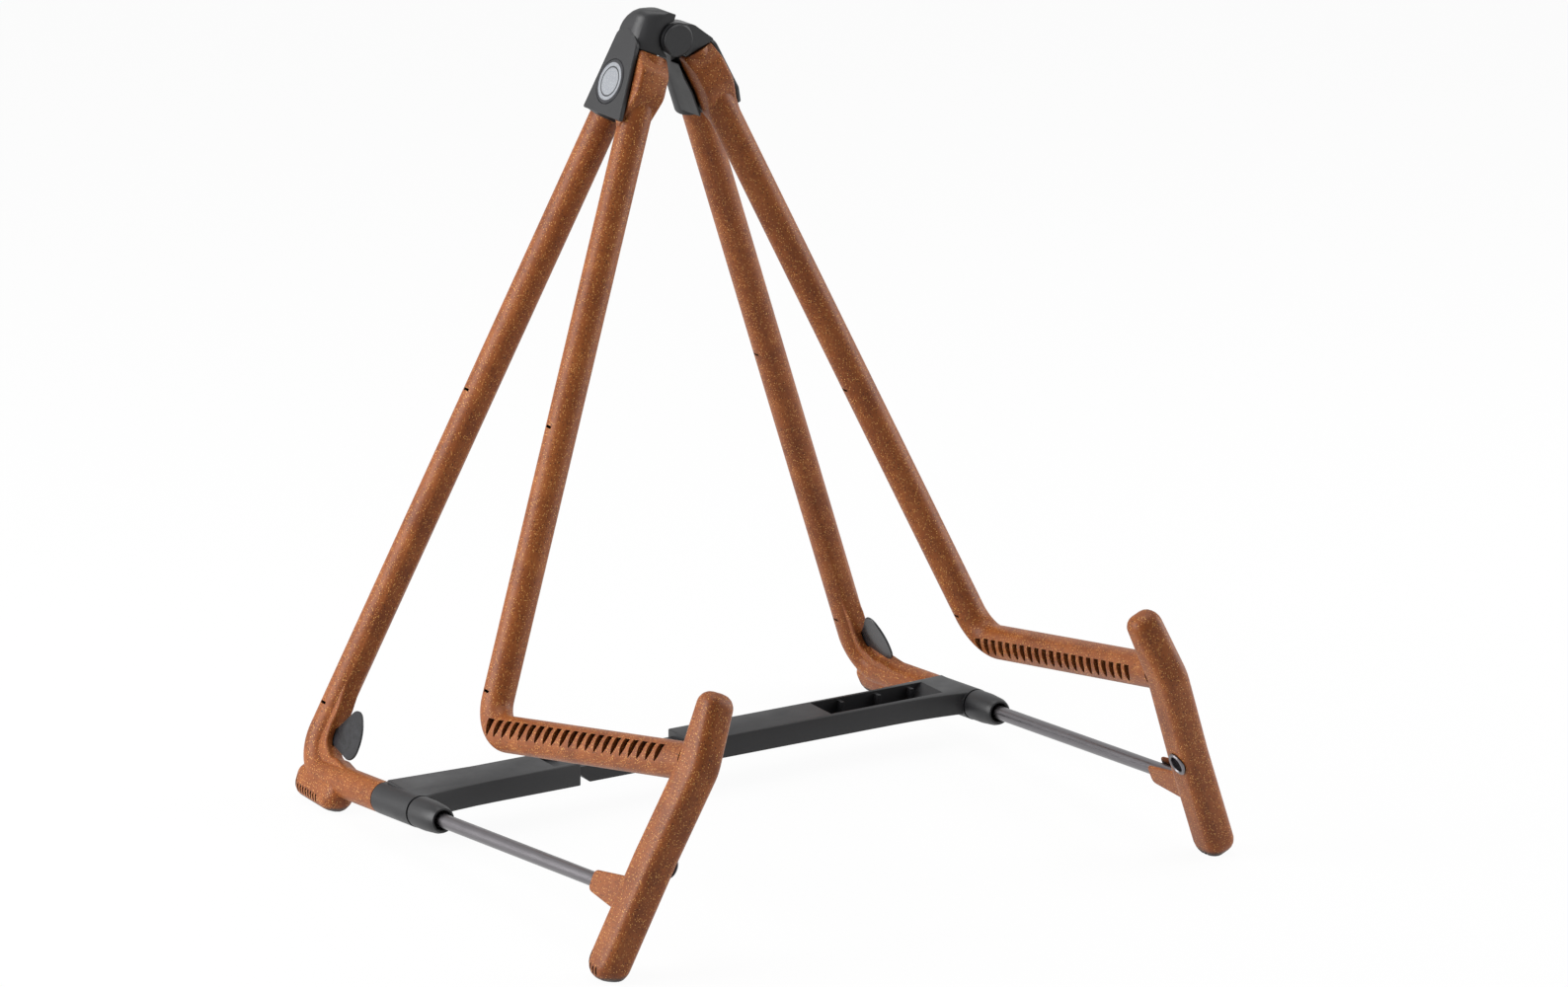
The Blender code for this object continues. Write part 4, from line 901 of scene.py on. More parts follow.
innerCheek = {
    "lowUp": 2 * mm,   # above the outer cheek's lower edge
    "highUp": 2 * mm,   # above the front arm's top
    "lowBack": 4.5 * mm,   # behind the front arm's axis, at the three heights of its front
    "pivotBack": 1 * mm,
    "highBack": 2 * mm,
    "lowR": 1.5 * mm,
    "frontR": 8 * mm,
    "highR": 2 * mm,
    "rearR": 0.6 * mm,
    "edge": 0.4 * mm,
}

roof = {
    "inset": 0.15 * mm,   # its outer face inside the cheek's
    "sideIn": {-1: 0, 1: 1.5 * mm},   # and this much further in
    "sideTop": {-1: (7.5 * mm, 5 * mm), 1: (-8 * mm, 2 * mm)},   # above the hinge, rounding
    # out from the inner face, above the hinge, rounding
    "ridge": {-1: (9 * mm, 10.6 * mm, 6 * mm), 1: (9.5 * mm, 2.2 * mm, 3 * mm)},
    "seam": {-1: (5.6 * mm, 10.8 * mm, 0.8 * mm), 1: (3 * mm, 0.9 * barrelR, 0)},
    "lip": (4.8 * mm, 3 * mm),   # foot of the left seam: out, and above the ceiling
    "rearIn": 0.3 * mm,
    "rearR": 9 * mm,   # rounding of a roof's rear end, seen from the side
    "rearDrop": 0.5,
    "frontR": 8 * mm,   # rounding of the left roof's front, seen from above
    "frontPull": 0.5,
    "frontBack": {-1: 2 * mm, 1: 0.2 * mm},   # its front end behind the hinge's front
}

# Wedge of room that lets the stand close flat
closing = {
    "room": math.radians(28),
    "under": 0.6 * mm,   # starts this far above the barrel's lowest line
}

barrel = {
    "span": {-1: (-headUnit["hingeSplit"] + fit, -headUnit["hingeRear"]),
             1: (-headUnit["hingeFront"], -headUnit["hingeSplit"])},
    "room": {-1: (-headUnit["hingeFront"] - 6 * mm, -headUnit["hingeSplit"] + fit),
             1: (-headUnit["hingeSplit"], 0)},   # for the other head's barrel
    "boreStart": 10 * mm,   # the bore starts this far in front of the hinge
}


# Cheek arched to a peak above its upper corners
def cheekOutline(side, low):
    margin = headUnit["cheekMargin"]
    high = hingeS - cheek["drop"][side]
    chamfer = cheek["chamfer"][side]
    corners = [(rearAxis(low) + margin, low, cheek["lowR"]),
               (frontAxis(low) - margin + chamfer, low, cheek["lowR"])]
    if chamfer > 0:
        step = low + cheek["chamferSlope"] * chamfer
        corners.append((frontAxis(step) - margin, step, cheek["chamferR"]))
    corners += [(frontAxis(high) - margin, high - cheek["frontDip"], cheek["highR"]),
                (rearAxis(high) - margin, high + cheek["peak"][side], cheek["peakR"]),
                (rearAxis(high) + margin, high, cheek["highR"])]
    return roundedOutline(corners)


def innerCheekOutline(bottom):
    low = bottom + innerCheek["lowUp"]
    high = armTop + innerCheek["highUp"]
    return roundedOutline([(rearAxis(low), low, innerCheek["lowR"]),
                           (frontAxis(low) + innerCheek["lowBack"], low, innerCheek["lowR"]),
                           (frontAxis(pivotS) + innerCheek["pivotBack"], pivotS,
                            innerCheek["frontR"]),
                           (frontAxis(high) + innerCheek["highBack"], high, innerCheek["highR"]),
                           (rearAxis(high), high, innerCheek["rearR"])])


# Section of a head above its front arm, in (x, s), for the right-hand frame
def roofProfile(side):
    near = -headUnit["hingeInset"]
    outside = headFace - roof["inset"] - roof["sideIn"][side]
    ceiling = armTop + fit
    sideTop, sideR = roof["sideTop"][side]
    corners = [(outside, ceiling, 0), (outside, hingeS + sideTop, sideR)]
    for across, up, radius in (roof["ridge"][side], roof["seam"][side]):
        corners.append((near + across, hingeS + up, radius))
    if side < 0:
        across, up = roof["lip"]
        corners.append((near + across, ceiling + up, 0))
    corners.append((near, ceiling, 0))
    return roundedOutline(corners)


# Roof of a head along y; its rear end rounds downwards, the left one's front end inwards
def roofBody(side):
    profile = roofProfile(side)
    rear = rearAxis(hingeS) + headUnit["cheekMargin"] - roof["rearIn"]
    front = -headUnit["hingeFront"] + headShift + roof["frontBack"][side]
    floor = min(p.y for p in profile)
    near = min(p.x for p in profile)
    steps = fineness["edgeSteps"]
    turns = [math.pi / 2 * k / steps for k in range(steps + 1)]
    rings = [(rear - roof["rearR"] * (1 - math.cos(t)), 1,
              1 - roof["rearDrop"] * (1 - math.sin(t))) for t in turns]
    if side < 0:
        rings += [(front + roof["frontR"] * (1 - math.sin(t)),
                   1 - roof["frontPull"] * (1 - math.cos(t)), 1) for t in turns]
    else:
        rings.append((front, 1, 1))
    return stack([[(near + (p.x - near) * wide, y, floor + (p.y - floor) * tall)
                   for p in profile] for y, wide, tall in rings])


# Nothing under the hinge crosses the middle plane of the closed stand
def closingWedge():
    slope = math.tan(stance["lean"] - closing["room"] / 2)
    near = -headUnit["hingeInset"] + fit
    far = near - 2 * sleeveR
    start = barrelR - closing["under"]
    reach = headUnit["headDrop"] + 2 * sleeveR
    outline = [(near - start * slope, hingeS - start), (near - reach * slope, hingeS - reach),
               (far, hingeS - reach), (far, hingeS - start)]
    return prismY(outline, 0, -2 * headUnit["hingeFront"])


def headShell(side):
    plane = sideMatrix(side)
    gap = headUnit["cheekGap"]
    bottom = hingeS - headUnit["headDrop"]
    sleeve = alongRear(sleeveR, hingeS - barrelR, bottom)
    head = makeBody(sleeve, plane, side)
    join(head, slab(cheekOutline(side, bottom), gap, headFace, cheek["edge"], 1), plane, side)
    inner = slab(innerCheekOutline(bottom), -gap - headUnit["innerCheek"], -gap,
                 innerCheek["edge"], 1)
    join(head, inner, plane, side)
    join(head, roofBody(side), plane, side)
    cut(head, closingWedge(), plane, side)

    start, stop = barrel["room"][side]
    cut(head, cylinder(barrelR + fit, 0, stop - start), alongY(start, 0, hingeHeight))
    start, stop = barrel["span"][side]
    join(head, cylinder(barrelR, 0, stop - start), alongY(start, 0, hingeHeight))
    cut(head, alongRear(tubeR + fit, legTop + fit, bottom - sleeveR), plane, side)
    cutEyeRoom(head, side)
    bore = cylinder(headUnit["hingePinDiameter"] / 2 + fit, 0, headUnit["hingeFront"],
                    fineness["pinSides"])
    cut(head, bore, alongY(-headUnit["hingeFront"] - barrel["boreStart"], 0, hingeHeight))

    pivot = acrossSide(side, pivotY, pivotS)
    seat = headFace - headUnit["badgeSeat"]
    cut(head, cylinder(headUnit["badgeDiameter"] / 2 + fit, seat, 2 * headFace), pivot)
    radius = headUnit["pivotPinDiameter"] / 2 + fit
    cut(head, cylinder(radius, -gap, headFace, fineness["tubeSides"]), pivot)
    return head


# Badge, pivot pin and friction washer of a head

badgeShape = {
    "proud": 0.4 * mm,
    "edge": 0.5 * mm,
    "rim": 1.3 * mm,
    "sunkFrom": 1.6 * mm,
    "sunk": 0.15 * mm,   # height of the middle over the cheek
}


def headFittings(side):
    pivot = acrossSide(side, pivotY, pivotS)
    gap = headUnit["cheekGap"]
    radius = headUnit["badgeDiameter"] / 2
    base = headFace - headUnit["badgeSeat"] + fit
    top = headFace + badgeShape["proud"]
    profile = [(radius, base), (radius, headFace), (radius - badgeShape["edge"], top),
               (radius - badgeShape["rim"], top),
               (radius - badgeShape["sunkFrom"], headFace + badgeShape["sunk"])]
    badge = makeBody(turned(profile), pivot)

    radius = headUnit["pivotPinDiameter"] / 2
    edge = headUnit["pinEdge"]
    low = -gap + fit
    high = headFace - headUnit["badgeSeat"] - fit
    profile = [(radius - edge, low), (radius, low + edge), (radius, high)]
    pin = makeBody(turned(profile, fineness["tubeSides"]), pivot)

    outer = headUnit["washerDiameter"] / 2
    inner = radius + fit
    profile = [(inner, -gap + fit), (outer, -gap + fit), (outer, -tubeR - fit),
               (inner, -tubeR - fit)]
    washer = makeBody(hollowTurned(profile), pivot)
    return badge, pin, washer


# Hinge pin and the two caps that close its bore

hingeCap = {
    "under": 0.4 * mm,   # radius under the barrel's
    "edge": 0.6 * mm,
    "depth": 1.2 * mm,
}


def hingeParts():
    radius = headUnit["hingePinDiameter"] / 2
    length = headUnit["hingeFront"] - headUnit["hingeRear"] - 2 * fit
    body = edgedPin(radius, length, headUnit["pinEdge"], fineness["pinSides"])
    pin = makeBody(body, alongY(-headUnit["hingeFront"] + fit, 0, hingeHeight))
    caps = []
    face = barrelR - hingeCap["under"]
    profile = [(face - hingeCap["edge"], -hingeCap["depth"]), (face, -hingeCap["edge"]), (face, 0)]
    for y, turn in ((-headUnit["hingeFront"] - fit, 0), (-headUnit["hingeRear"] + fit, math.pi)):
        place = alongY(y, 0, hingeHeight) @ Matrix.Rotation(turn, 4, "X")
        caps.append(makeBody(turned(profile), place))
    return pin, caps


# Cross brace

crossBrace = {
    "rear": 75.5 * mm,
    "depth": 23.3 * mm,
    "height": 10.6 * mm,
    "aboveAxis": 7.6 * mm,
    "flare": 4.2 * mm,
    "flareLength": 42 * mm,
    "flareSteps": 4,
    "rearFlareShare": 0.6,
    "edge": 0.7 * mm,
    "edgeFrom": math.radians(40),
    "blockEnd": 62 * mm,   # left block ends this far left of the middle
    "shoulder": 3.0 * mm,   # right part's full depth ends this far left of the middle
    "cheek": 2.6 * mm,
    "tongueLower": 2.8 * mm,
    "tongueRoot": 4 * mm,   # the tongue starts this deep in the right part
    "tongueTip": 8.5 * mm,   # tongue's upper tip past the end of the left block
    "tongueSway": 1.1 * mm,   # play behind the tongue, which sways back as it lifts
    "latchAngle": math.radians(40),
    "latchPinDiameter": 3 * mm,
    "latchPinInset": 1.8 * mm,
    "latchPinHeight": 4.5 * mm,
    "latchPinShort": 1.0 * mm,   # at each end, under the brace's depth
    "hookLength": 25 * mm,
    "spare": 5 * mm,   # cutting bodies reach this far past the brace
}

braceSleeve = {
    "oversize": 0.1 * mm,   # its radius over the tube's
    "edge": 0.3 * mm,
    "inside": 2 * mm,   # the ends are cut square this far past the tube, towards the middle
}

tray = {
    "start": 72 * mm,
    "length": 61 * mm,
    "depth": 8 * mm,
    "rearWall": 2.2 * mm,
    "frontWall": 2.5 * mm,
    "rib": 1.6 * mm,
    "ribsAt": (15 * mm, 35 * mm, 53 * mm),
    "ribOut": 3.5 * mm,
    "ribIn": 0.8 * mm,
    "ribUnder": 1 * mm,
    "ribDrop": 1.2 * mm,   # ribs end this far under the brace's top
}

# Levels and ends of the brace that its parts share
braceMiddle = -crossBrace["rear"] - crossBrace["depth"] / 2
bracePoint = sideMatrix(1) @ Vector((0, braceMiddle, footAxis(braceMiddle)))
braceTop = bracePoint.z + crossBrace["aboveAxis"]
braceBottom = braceTop - crossBrace["height"]
braceRear = -crossBrace["rear"]
braceFront = braceRear - crossBrace["depth"]
latchSlope = math.tan(crossBrace["latchAngle"])
latchX = -crossBrace["blockEnd"] - crossBrace["latchPinInset"]
latchZ = braceBottom + crossBrace["latchPinHeight"]


# One part of the brace, from its sleeve to endX, flaring at the sleeve
def braceBody(side, endX):
    knee = bracePoint.x - crossBrace["flareLength"]
    outline = [(bracePoint.x, braceRear + crossBrace["flare"] * crossBrace["rearFlareShare"]),
               (knee, braceRear), (endX, braceRear), (endX, braceFront)]
    for k in range(crossBrace["flareSteps"] + 1):
        t = k / crossBrace["flareSteps"]
        outline.append((knee + crossBrace["flareLength"] * t,
                        braceFront - crossBrace["flare"] * t * t))
    block = stack(prismRings(outline, braceBottom, braceTop))
    body = makeBody(block, identity, side)
    bevel = body.modifiers.new("edges", "BEVEL")
    bevel.width = crossBrace["edge"]
    bevel.segments = 2
    bevel.limit_method = "ANGLE"
    bevel.angle_limit = crossBrace["edgeFrom"]

    length = footLength(0, footJournal["sleeveLength"] - 2 * fit)
    outer = tubeR + braceSleeve["oversize"]
    edge = braceSleeve["edge"]
    place = sideMatrix(side) @ alongFoot(-footJournal["sleeveRear"] - fit)
    join(body, turned([(outer - edge, 0), (outer, edge), (outer, length)]), place)
    cut(body, cylinder(footJournal["diameter"] / 2 + fit, -length, 2 * length), place)
    ends = bmesh.new()
    wide = 3 * tubeR
    for low, high in ((-length, 0), (length, 2 * length)):
        addBox(ends, (-tubeR - braceSleeve["inside"], -wide, low), (wide, wide, high))
    cut(body, ends, place, side)
    return body


def braceLeft():
    body = braceBody(-1, crossBrace["blockEnd"])
    spare = crossBrace["spare"]
    end = -crossBrace["blockEnd"]
    seat = end - crossBrace["tongueTip"] - 1.5 * fit - crossBrace["tongueLower"] / latchSlope
    outline = [(seat - spare / latchSlope, braceTop + spare),
               (seat + (crossBrace["height"] + spare) / latchSlope, braceBottom - spare),
               (end + 3 * spare, braceBottom - spare), (end + 3 * spare, braceTop + spare)]
    cheeks = (braceRear - crossBrace["cheek"], braceFront + crossBrace["cheek"])
    cut(body, prismY(outline, *cheeks), identity)

    radius = crossBrace["latchPinDiameter"] / 2
    inset = crossBrace["latchPinShort"]
    length = crossBrace["depth"] - 2 * inset
    sides = fineness["pinSides"]
    place = alongY(braceFront + inset, latchX, latchZ)
    cut(body, cylinder(radius + fit, 0, length, sides), place)
    return body, makeBody(cylinder(radius, fit, length - fit, sides), place)


# The hook drops over the latch pin and slides off it down the tongue's slope
def hookOutline():
    pin = Vector((latchX, latchZ))
    radius = crossBrace["latchPinDiameter"] / 2 + fit
    along = Vector((math.cos(crossBrace["latchAngle"]), -math.sin(crossBrace["latchAngle"])))
    stop = math.pi / 2 - crossBrace["latchAngle"]
    points = []
    for k in range(fineness["hookSteps"] + 1):
        angle = math.pi + (stop - math.pi) * k / fineness["hookSteps"]
        points.append(pin + Vector((math.cos(angle), math.sin(angle))) * radius)
    points.append(points[-1] + along * crossBrace["hookLength"])
    points.append(Vector((points[0].x, points[-1].y)))
    return points


def cutTray(body):
    base = braceTop - tray["depth"]
    spare = crossBrace["spare"]
    far = tray["start"] + tray["length"]
    wall = braceRear - tray["rearWall"]
    outline = [(tray["start"], base), (tray["start"], braceTop + spare),
               (far + spare, braceTop + spare), (far, braceTop), (far - tray["depth"], base)]
    cut(body, prismY(outline, wall, braceFront + tray["frontWall"]), identity)
    ribs = bmesh.new()
    for offset in tray["ribsAt"]:
        x = tray["start"] + offset
        addBox(ribs, (x, wall - tray["ribOut"], base - tray["ribUnder"]),
               (x + tray["rib"], wall + tray["ribIn"], braceTop - tray["ribDrop"]))
    join(body, ribs, identity)


def braceRight():
    body = braceBody(1, -crossBrace["shoulder"])
    innerRear = braceRear - crossBrace["cheek"] - crossBrace["tongueSway"]
    innerFront = braceFront + crossBrace["cheek"] + 2 * fit
    tipX = -crossBrace["blockEnd"] - crossBrace["tongueTip"]
    height = crossBrace["height"] - crossBrace["tongueLower"]
    rootX = -crossBrace["shoulder"] + crossBrace["tongueRoot"]
    outline = [(rootX, braceBottom + height), (tipX, braceBottom + height),
               (tipX + height / latchSlope, braceBottom), (rootX, braceBottom)]
    join(body, prismY(outline, innerRear, innerFront), identity)
    cut(body, prismY(hookOutline(), braceRear, braceFront), identity)
    cutTray(body)
    return body


# Materials

# sRGB hex colour as linear values
def linear(hexColour):
    channels = []
    for i in (0, 2, 4):
        c = int(hexColour[i:i + 2], 16) / 255
        channels.append(c / 12.92 if c <= 0.04045 else ((c + 0.055) / 1.055) ** 2.4)
    return (*channels, 1.0)


# One node with its settings; each of its inputs takes a plain value or a socket to link
def addNode(tree, kind, settings=None, inputs=None):
    node = tree.nodes.new(kind)
    for key, value in (settings or {}).items():
        setattr(node, key, value)
    for key, value in (inputs or {}).items():
        if isinstance(value, bpy.types.NodeSocket):
            tree.links.new(value, node.inputs[key])
        else:
            node.inputs[key].default_value = value
    return node


def calculate(tree, operation, *values):
    inputs = dict(enumerate(values))
    return addNode(tree, "ShaderNodeMath", {"operation": operation}, inputs).outputs[0]


def mixColours(tree, factor, first, second, blend="MIX"):
    settings = {"data_type": "RGBA", "blend_type": blend}
    inputs = {0: factor, 6: first, 7: second}
    return addNode(tree, "ShaderNodeMix", settings, inputs).outputs[2]


# The value moved from one span to another
def addSpan(tree, value, fromSpan=(0, 1), toSpan=(0, 1), smooth="LINEAR"):
    inputs = {"Value": value, "From Min": fromSpan[0], "From Max": fromSpan[1],
              "To Min": toSpan[0], "To Max": toSpan[1]}
    settings = {"interpolation_type": smooth}
    return addNode(tree, "ShaderNodeMapRange", settings, inputs).outputs["Result"]


# Noise in the piece's own space, its largest patches of about this size
def addNoise(tree, place, size, detail=2.0, roughness=0.5, distortion=0.0):
    inputs = {"Vector": place, "Scale": 1 / size, "Detail": detail, "Roughness": roughness,
              "Distortion": distortion}
    return addNode(tree, "ShaderNodeTexNoise", {}, inputs).outputs["Fac"]


# Two or more colours along a value, as (position, hex) pairs
def addRamp(tree, value, stops):
    ramp = addNode(tree, "ShaderNodeValToRGB", {}, {"Fac": value})
    elements = ramp.color_ramp.elements
    while len(elements) < len(stops):
        elements.new(0.5)
    for element, (position, colour) in zip(elements, stops):
        element.position = position
        element.color = linear(colour)
    return ramp.outputs["Color"]


# Grains of about this size; share is the part of the cells that shows a grain
def addGrains(tree, place, size, share, edge):
    cells = addNode(tree, "ShaderNodeTexVoronoi", {"feature": "F1"},
                    {"Scale": 1 / size, "Randomness": 1.0, "Vector": place})
    chance = addNode(tree, "ShaderNodeSeparateColor", {}, {"Color": cells.outputs["Color"]})
    chosen = calculate(tree, "LESS_THAN", chance.outputs["Red"], share)
    near = addSpan(tree, cells.outputs["Distance"], (edge, edge * 0.45), smooth="SMOOTHSTEP")
    return calculate(tree, "MULTIPLY", chosen, near)


# New material with its shader, and the place on the piece that its textures follow
def startMaterial(look):
    material = bpy.data.materials.new(look["name"])
    material.use_nodes = True
    tree = material.node_tree
    shader = tree.nodes["Principled BSDF"]
    for key, value in look["shader"].items():
        shader.inputs[key].default_value = value
    place = addNode(tree, "ShaderNodeTexCoord").outputs["Object"]
    return material, tree, shader, place


# Base colour, and roughness between the look's two values as a noise goes up
def paint(tree, shader, look, colour, noise):
    tree.links.new(colour, shader.inputs["Base Color"])
    rough = addSpan(tree, noise, look.get("roughFrom", (0, 1)), look["roughness"])
    tree.links.new(rough, shader.inputs["Roughness"])


# Fine relief from a height, over edges that look softly rounded
def emboss(tree, shader, look, height):
    soft = addNode(tree, "ShaderNodeBevel", {"samples": 4}, {"Radius": look["softEdge"]})
    bump = addNode(tree, "ShaderNodeBump", {}, {"Strength": look["strength"],
                   "Distance": look["relief"], "Height": height,
                   "Normal": soft.outputs["Normal"]})
    tree.links.new(bump.outputs["Normal"], shader.inputs["Normal"])


# Plain surface: its colour follows a fine grain, its roughness a wider cloud where it has one
def makeSurface(look):
    material, tree, shader, place = startMaterial(look)
    along = place
    if "stretch" in look:
        along = addNode(tree, "ShaderNodeMapping", {}, {"Scale": look["stretch"],
                        "Vector": place}).outputs["Vector"]
    grain = addNoise(tree, along, *look["grain"])
    cloud = addNoise(tree, place, *look["cloud"]) if "cloud" in look else grain
    paint(tree, shader, look, addRamp(tree, grain, look["stops"]), cloud)
    if "relief" in look:
        emboss(tree, shader, look, grain)
    return material


# Cork granules in a moulded thermoplastic: warm brown with golden and dark flecks, satin, with
# painted shade deep in its slots.
# A noise is (size, detail, roughness, distortion)
corkCompound = {
    "name": "mouldedCorkCompound",
    "shader": {"IOR": 1.47, "Specular IOR Level": 0.28},
    "stops": ((0.30, "793e19"), (0.5, "8a4a1f"), (0.72, "985627")),
    "cloud": (14 * mm, 3.0, 0.6),
    "grain": (0.40 * mm, 2.0, 0.7),
    "grainStops": ((0.25, "6e6e6e"), (0.75, "dadada")),
    "grainShare": 0.55,
    "flecks": (("46230e", 0.9 * mm, 0.30, 0.42),   # colour, size, share of cells, reach
               ("ad7038", 1.1 * mm, 0.22, 0.30),
               ("e8ad62", 0.62 * mm, 0.26, 0.42)),
    "hollow": "120804",   # colour of the painted shade deep inside slots
    "paintedShadeReach": 5 * mm,
    "paintedShadeFrom": (0.25, 0.72),
    "strength": 0.35,
    "relief": 0.10 * mm,
    "softEdge": 0.35 * mm,
    "roughness": (0.34, 0.55),
}


def makeCorkCompound(look):
    material, tree, shader, place = startMaterial(look)
    colour = addRamp(tree, addNoise(tree, place, *look["cloud"]), look["stops"])
    grain = addNoise(tree, place, *look["grain"])
    tint = addRamp(tree, grain, look["grainStops"])
    colour = mixColours(tree, look["grainShare"], colour, tint, "OVERLAY")
    for fleckColour, size, share, edge in look["flecks"]:
        fleck = addGrains(tree, place, size, share, edge)
        colour = mixColours(tree, fleck, colour, linear(fleckColour))
    # Painted shade: the colour darkens towards the hollow colour where ambient occlusion is low,
    # deep in the slots
    openness = addNode(tree, "ShaderNodeAmbientOcclusion", {"samples": 6},
                       {"Distance": look["paintedShadeReach"]}).outputs["AO"]
    openness = addSpan(tree, openness, look["paintedShadeFrom"], smooth="SMOOTHSTEP")
    colour = mixColours(tree, openness, linear(look["hollow"]), colour)
    paint(tree, shader, look, colour, grain)
    emboss(tree, shader, look, calculate(tree, "ADD", grain, fleck))   # the last flecks stand out
    return material


# Glass-filled nylon moulded in a spark-eroded tool: near black, an even fine matt grain
blackNylon = {
    "name": "mouldedBlackNylon",
    "shader": {"IOR": 1.53, "Specular IOR Level": 0.38},
    "stops": ((0.3, "171719"), (0.8, "222224")),
    "grain": (0.35 * mm,),
    "cloud": (22 * mm, 4.0, 0.65),
    "strength": 0.30,
    "relief": 0.05 * mm,
    "softEdge": 0.35 * mm,
    "roughness": (0.36, 0.50),
    "roughFrom": (0.3, 0.7),
}


# Drawn steel rod: dark grey satin with fine drawing lines along its length (its own z)
blackenedSteel = {
    "name": "blackenedSteel",
    "shader": {"Metallic": 1.0},
    "stops": ((0.3, "6e6b6e"), (0.75, "7d7a7d")),
    "grain": (0.35 * mm,),
    "stretch": (1.0, 1.0, 0.02),
    "cloud": (9 * mm, 4.0),
    "roughness": (0.30, 0.36),
    "roughFrom": (0.3, 0.7),
}


# Printed foil badge, bare: pale silver disc with a dark rim and one thin ring (own z is its axis)
badgeFoil = {
    "name": "paleBadgeFoil",
    "shader": {"Metallic": 0.2},
    "stops": ((0.35, "85888d"), (0.7, "9da0a5")),
    "rim": "26262a",
    "grain": (0.6 * mm, 3.0),
    "rimFrom": 0.86,   # shares of the badge's radius
    "ringAt": 0.66,
    "ringHalf": 0.035,
    "roughness": (0.30, 0.42),
}


def makeBadgeFoil(look):
    radius = headUnit["badgeDiameter"] / 2
    material, tree, shader, place = startMaterial(look)
    dust = addNoise(tree, place, *look["grain"])
    flat = addNode(tree, "ShaderNodeVectorMath", {"operation": "MULTIPLY"},
                   {0: place, 1: (1, 1, 0)}).outputs["Vector"]
    reach = addNode(tree, "ShaderNodeVectorMath", {"operation": "LENGTH"},
                    {0: flat}).outputs["Value"]
    rim = calculate(tree, "GREATER_THAN", reach, look["rimFrom"] * radius)
    ring = calculate(tree, "COMPARE", reach, look["ringAt"] * radius, look["ringHalf"] * radius)
    dark = calculate(tree, "MAXIMUM", rim, ring)
    colour = addRamp(tree, dust, look["stops"])
    paint(tree, shader, look, mixColours(tree, dark, colour, linear(look["rim"])), dust)
    return material


# Celluloid guitar pick, tumbled: dark grey with a faint smoky swirl under a polished skin
pickCelluloid = {
    "name": "smokyCelluloid",
    "shader": {"IOR": 1.5, "Specular IOR Level": 0.4},
    "stops": ((0.35, "161618"), (0.7, "28282c")),
    "grain": (7 * mm, 5.0, 0.5, 1.5),
    "roughness": (0.22, 0.34),
}


# Natural nylon washer, turned: milky off-white with faint lathe marks
washerNylon = {
    "name": "naturalNylon",
    "shader": {"IOR": 1.53, "Subsurface Weight": 0.1},
    "stops": ((0.3, "b3b1a8"), (0.7, "c9c7be")),
    "grain": (0.4 * mm,),
    "roughness": (0.4, 0.55),
}


finishes = {
    "cork_compound": makeCorkCompound(corkCompound),
    "black_plastic": makeSurface(blackNylon),
    "dark_steel": makeSurface(blackenedSteel),
    "pale_badge": makeBadgeFoil(badgeFoil),
    "pick_celluloid": makeSurface(pickCelluloid),
    "washer_nylon": makeSurface(washerNylon),
}
print("materials made:", len(finishes))


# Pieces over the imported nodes

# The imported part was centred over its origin; the hinge pin's front end says how far
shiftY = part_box("hinge_pin")[0].y + headUnit["hingeFront"] - fit


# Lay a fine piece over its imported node: in place, smooth, in its finish, riding on its body
def dress(obj, node):
    settle(obj)
    mesh = obj.data
    obj.matrix_world = Matrix.Translation((0, shiftY, 0)) @ obj.matrix_world
    if slotOfNode[node] in ("cork_compound", "black_plastic"):
        mesh.transform(obj.matrix_world)
        obj.matrix_world = Matrix.Identity(4)
    mesh.shade_smooth()
    mesh.set_sharp_from_angle(angle=fineness["crease"])
    mesh.materials.clear()
    mesh.materials.append(finishes[slotOfNode[node]])
    words = node.split("_")
    obj.name = words[0] + "".join(word.capitalize() for word in words[1:])
    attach(obj, bodyOfNode[node])
    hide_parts(node)
    return obj


for side in (-1, 1):
    name = sideName(side)
    dress(rearLeg(side), f"rear_leg_{name}")
    dress(frontArm(side), f"front_arm_{name}")
    dress(headShell(side), f"head_shell_{name}")
    badge, pin, washer = headFittings(side)
    dress(badge, f"head_badge_{name}")
    dress(pin, f"arm_pivot_pin_{name}")
    dress(washer, f"friction_washer_{name}")
    dress(rod(side), f"rod_{name}")
    dress(collar(side), f"collar_{name}")
    dress(bush(side), f"bar_bush_{name}")
    dress(pick(side), f"pick_{name}")
    print("side frame dressed:", name)
leftBrace, latch = braceLeft()
dress(leftBrace, "brace_left")
dress(latch, "brace_latch_pin")
dress(braceRight(), "brace_right")
hingePin, caps = hingeParts()
dress(hingePin, "hinge_pin")
for cap, place in zip(caps, ("front", "rear")):
    dress(cap, f"hinge_cap_{place}")
print("brace and hinge dressed")


# Floor, light and camera

studio = {
    "floorSize": 12.0,
    "floorWhite": 0.95,   # share of plain white that the camera sees in the floor
    "floorColour": "f4f4f4",
    "ambient": 0.22,
    "aim": Vector((0, 0, 0.16)),
}

# Soft boxes: how far right of the camera's line each stands, how near the camera, how high,
# then its width and height, and its power
softBoxes = {
    "keyBox": (-1.3, 0.25, 0.55, (1.0, 1.2), 25.0),
    "rimBox": (1.25, -0.35, 0.5, (0.9, 1.1), 13.0),
    "topBox": (0.0, -0.2, 1.5, (1.2, 1.2), 10.0),
}


# Light Path value that is 1 for rays that should see a plain white background
def seenAsBackground(tree):
    path = addNode(tree, "ShaderNodeLightPath")
    first = calculate(tree, "MAXIMUM", path.outputs["Is Camera Ray"],
                      path.outputs["Is Glossy Ray"])
    return calculate(tree, "MAXIMUM", first, path.outputs["Is Transmission Ray"])


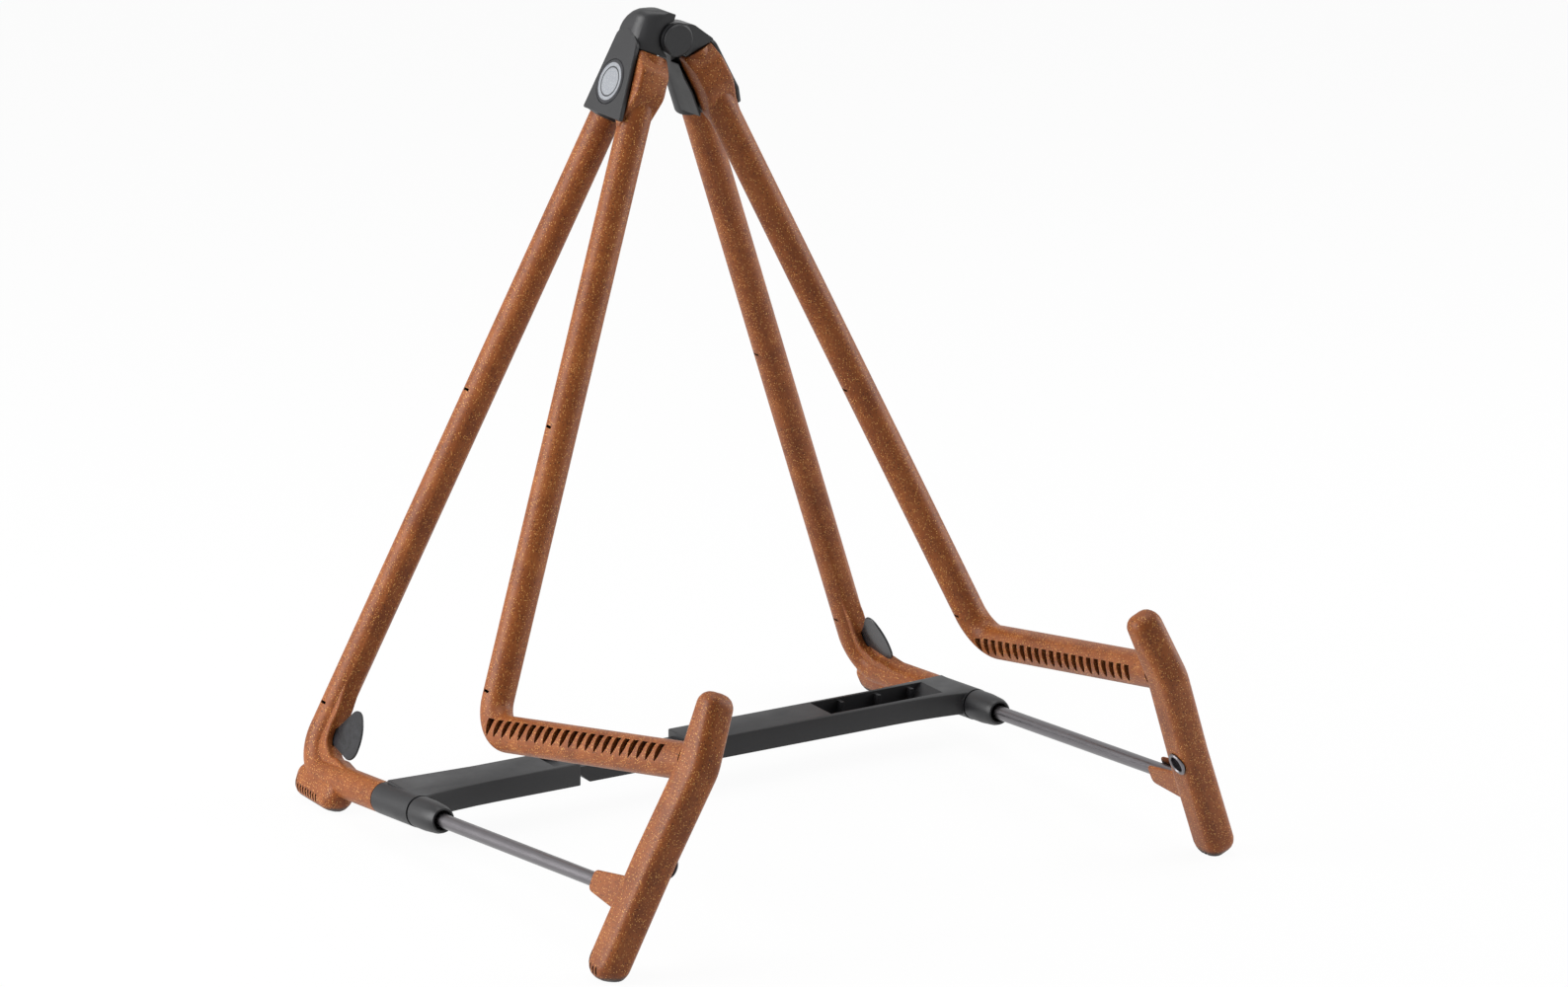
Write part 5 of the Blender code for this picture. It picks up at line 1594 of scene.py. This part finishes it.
def makeFloor():
    bm = bmesh.new()
    half = studio["floorSize"] / 2
    corners = [bm.verts.new((x, y, 0)) for x, y in ((-half, -half), (half, -half),
                                                    (half, half), (-half, half))]
    bm.faces.new(corners)
    mesh = bpy.data.meshes.new("studioFloor")
    bm.to_mesh(mesh)
    bm.free()
    floor = bpy.data.objects.new("studioFloor", mesh)
    bpy.context.scene.collection.objects.link(floor)
    material = bpy.data.materials.new("whitePaperFloor")
    material.use_nodes = True
    tree = material.node_tree
    tree.nodes.clear()
    paper = addNode(tree, "ShaderNodeBsdfDiffuse", {}, {"Color": linear(studio["floorColour"])})
    white = addNode(tree, "ShaderNodeEmission", {}, {"Strength": 1.0})
    share = calculate(tree, "MULTIPLY", seenAsBackground(tree), studio["floorWhite"])
    mix = addNode(tree, "ShaderNodeMixShader", {}, {0: share, 1: paper.outputs[0],
                  2: white.outputs[0]})
    addNode(tree, "ShaderNodeOutputMaterial", {}, {"Surface": mix.outputs[0]})
    mesh.materials.append(material)


def makeWorld():
    world = bpy.data.worlds.new("studioWorld")
    bpy.context.scene.world = world
    world.use_nodes = True
    tree = world.node_tree
    tree.nodes.clear()
    strength = addSpan(tree, seenAsBackground(tree), toSpan=(studio["ambient"], 1.0))
    light = addNode(tree, "ShaderNodeBackground", {}, {"Strength": strength})
    addNode(tree, "ShaderNodeOutputWorld", {}, {"Surface": light.outputs[0]})


# The camera stands front left of the stand, a little above it, as in the photograph
camera = {
    "place": Vector((-1.548586, -2.707415 + shiftY, 1.035161)),
    "azimuth": math.radians(-31.4211),
    "elevation": math.radians(16.3841),
    "lens": 161.4,
    "sensor": 36.0,
    "clip": (0.05, 50),
}


def makeCamera():
    data = bpy.data.cameras.new("photoCamera")
    data.lens = camera["lens"]
    data.sensor_width = camera["sensor"]
    data.clip_start, data.clip_end = camera["clip"]
    obj = bpy.data.objects.new("photoCamera", data)
    bpy.context.scene.collection.objects.link(obj)
    a, e = camera["azimuth"], camera["elevation"]
    back = Vector((math.sin(a) * math.cos(e), -math.cos(a) * math.cos(e), math.sin(e)))
    obj.rotation_mode = "QUATERNION"
    obj.rotation_quaternion = (-back).to_track_quat("-Z", "Y")
    obj.location = camera["place"]
    bpy.context.scene.camera = obj


def addSoftBox(name, side, front, height, size, power):
    a = camera["azimuth"]
    right = Vector((math.cos(a), math.sin(a), 0))
    near = Vector((math.sin(a), -math.cos(a), 0))
    light = bpy.data.lights.new(name, "AREA")
    light.shape = "RECTANGLE"
    light.size, light.size_y = size
    light.energy = power
    obj = bpy.data.objects.new(name, light)
    bpy.context.scene.collection.objects.link(obj)
    obj.location = right * side + near * front + Vector((0, 0, height))
    obj.rotation_mode = "QUATERNION"
    obj.rotation_quaternion = (studio["aim"] - obj.location).to_track_quat("-Z", "Y")


makeFloor()
makeWorld()
makeCamera()
for name, values in softBoxes.items():
    addSoftBox(name, *values)
bpy.context.scene.view_settings.view_transform = "Standard"
print("studio ready")
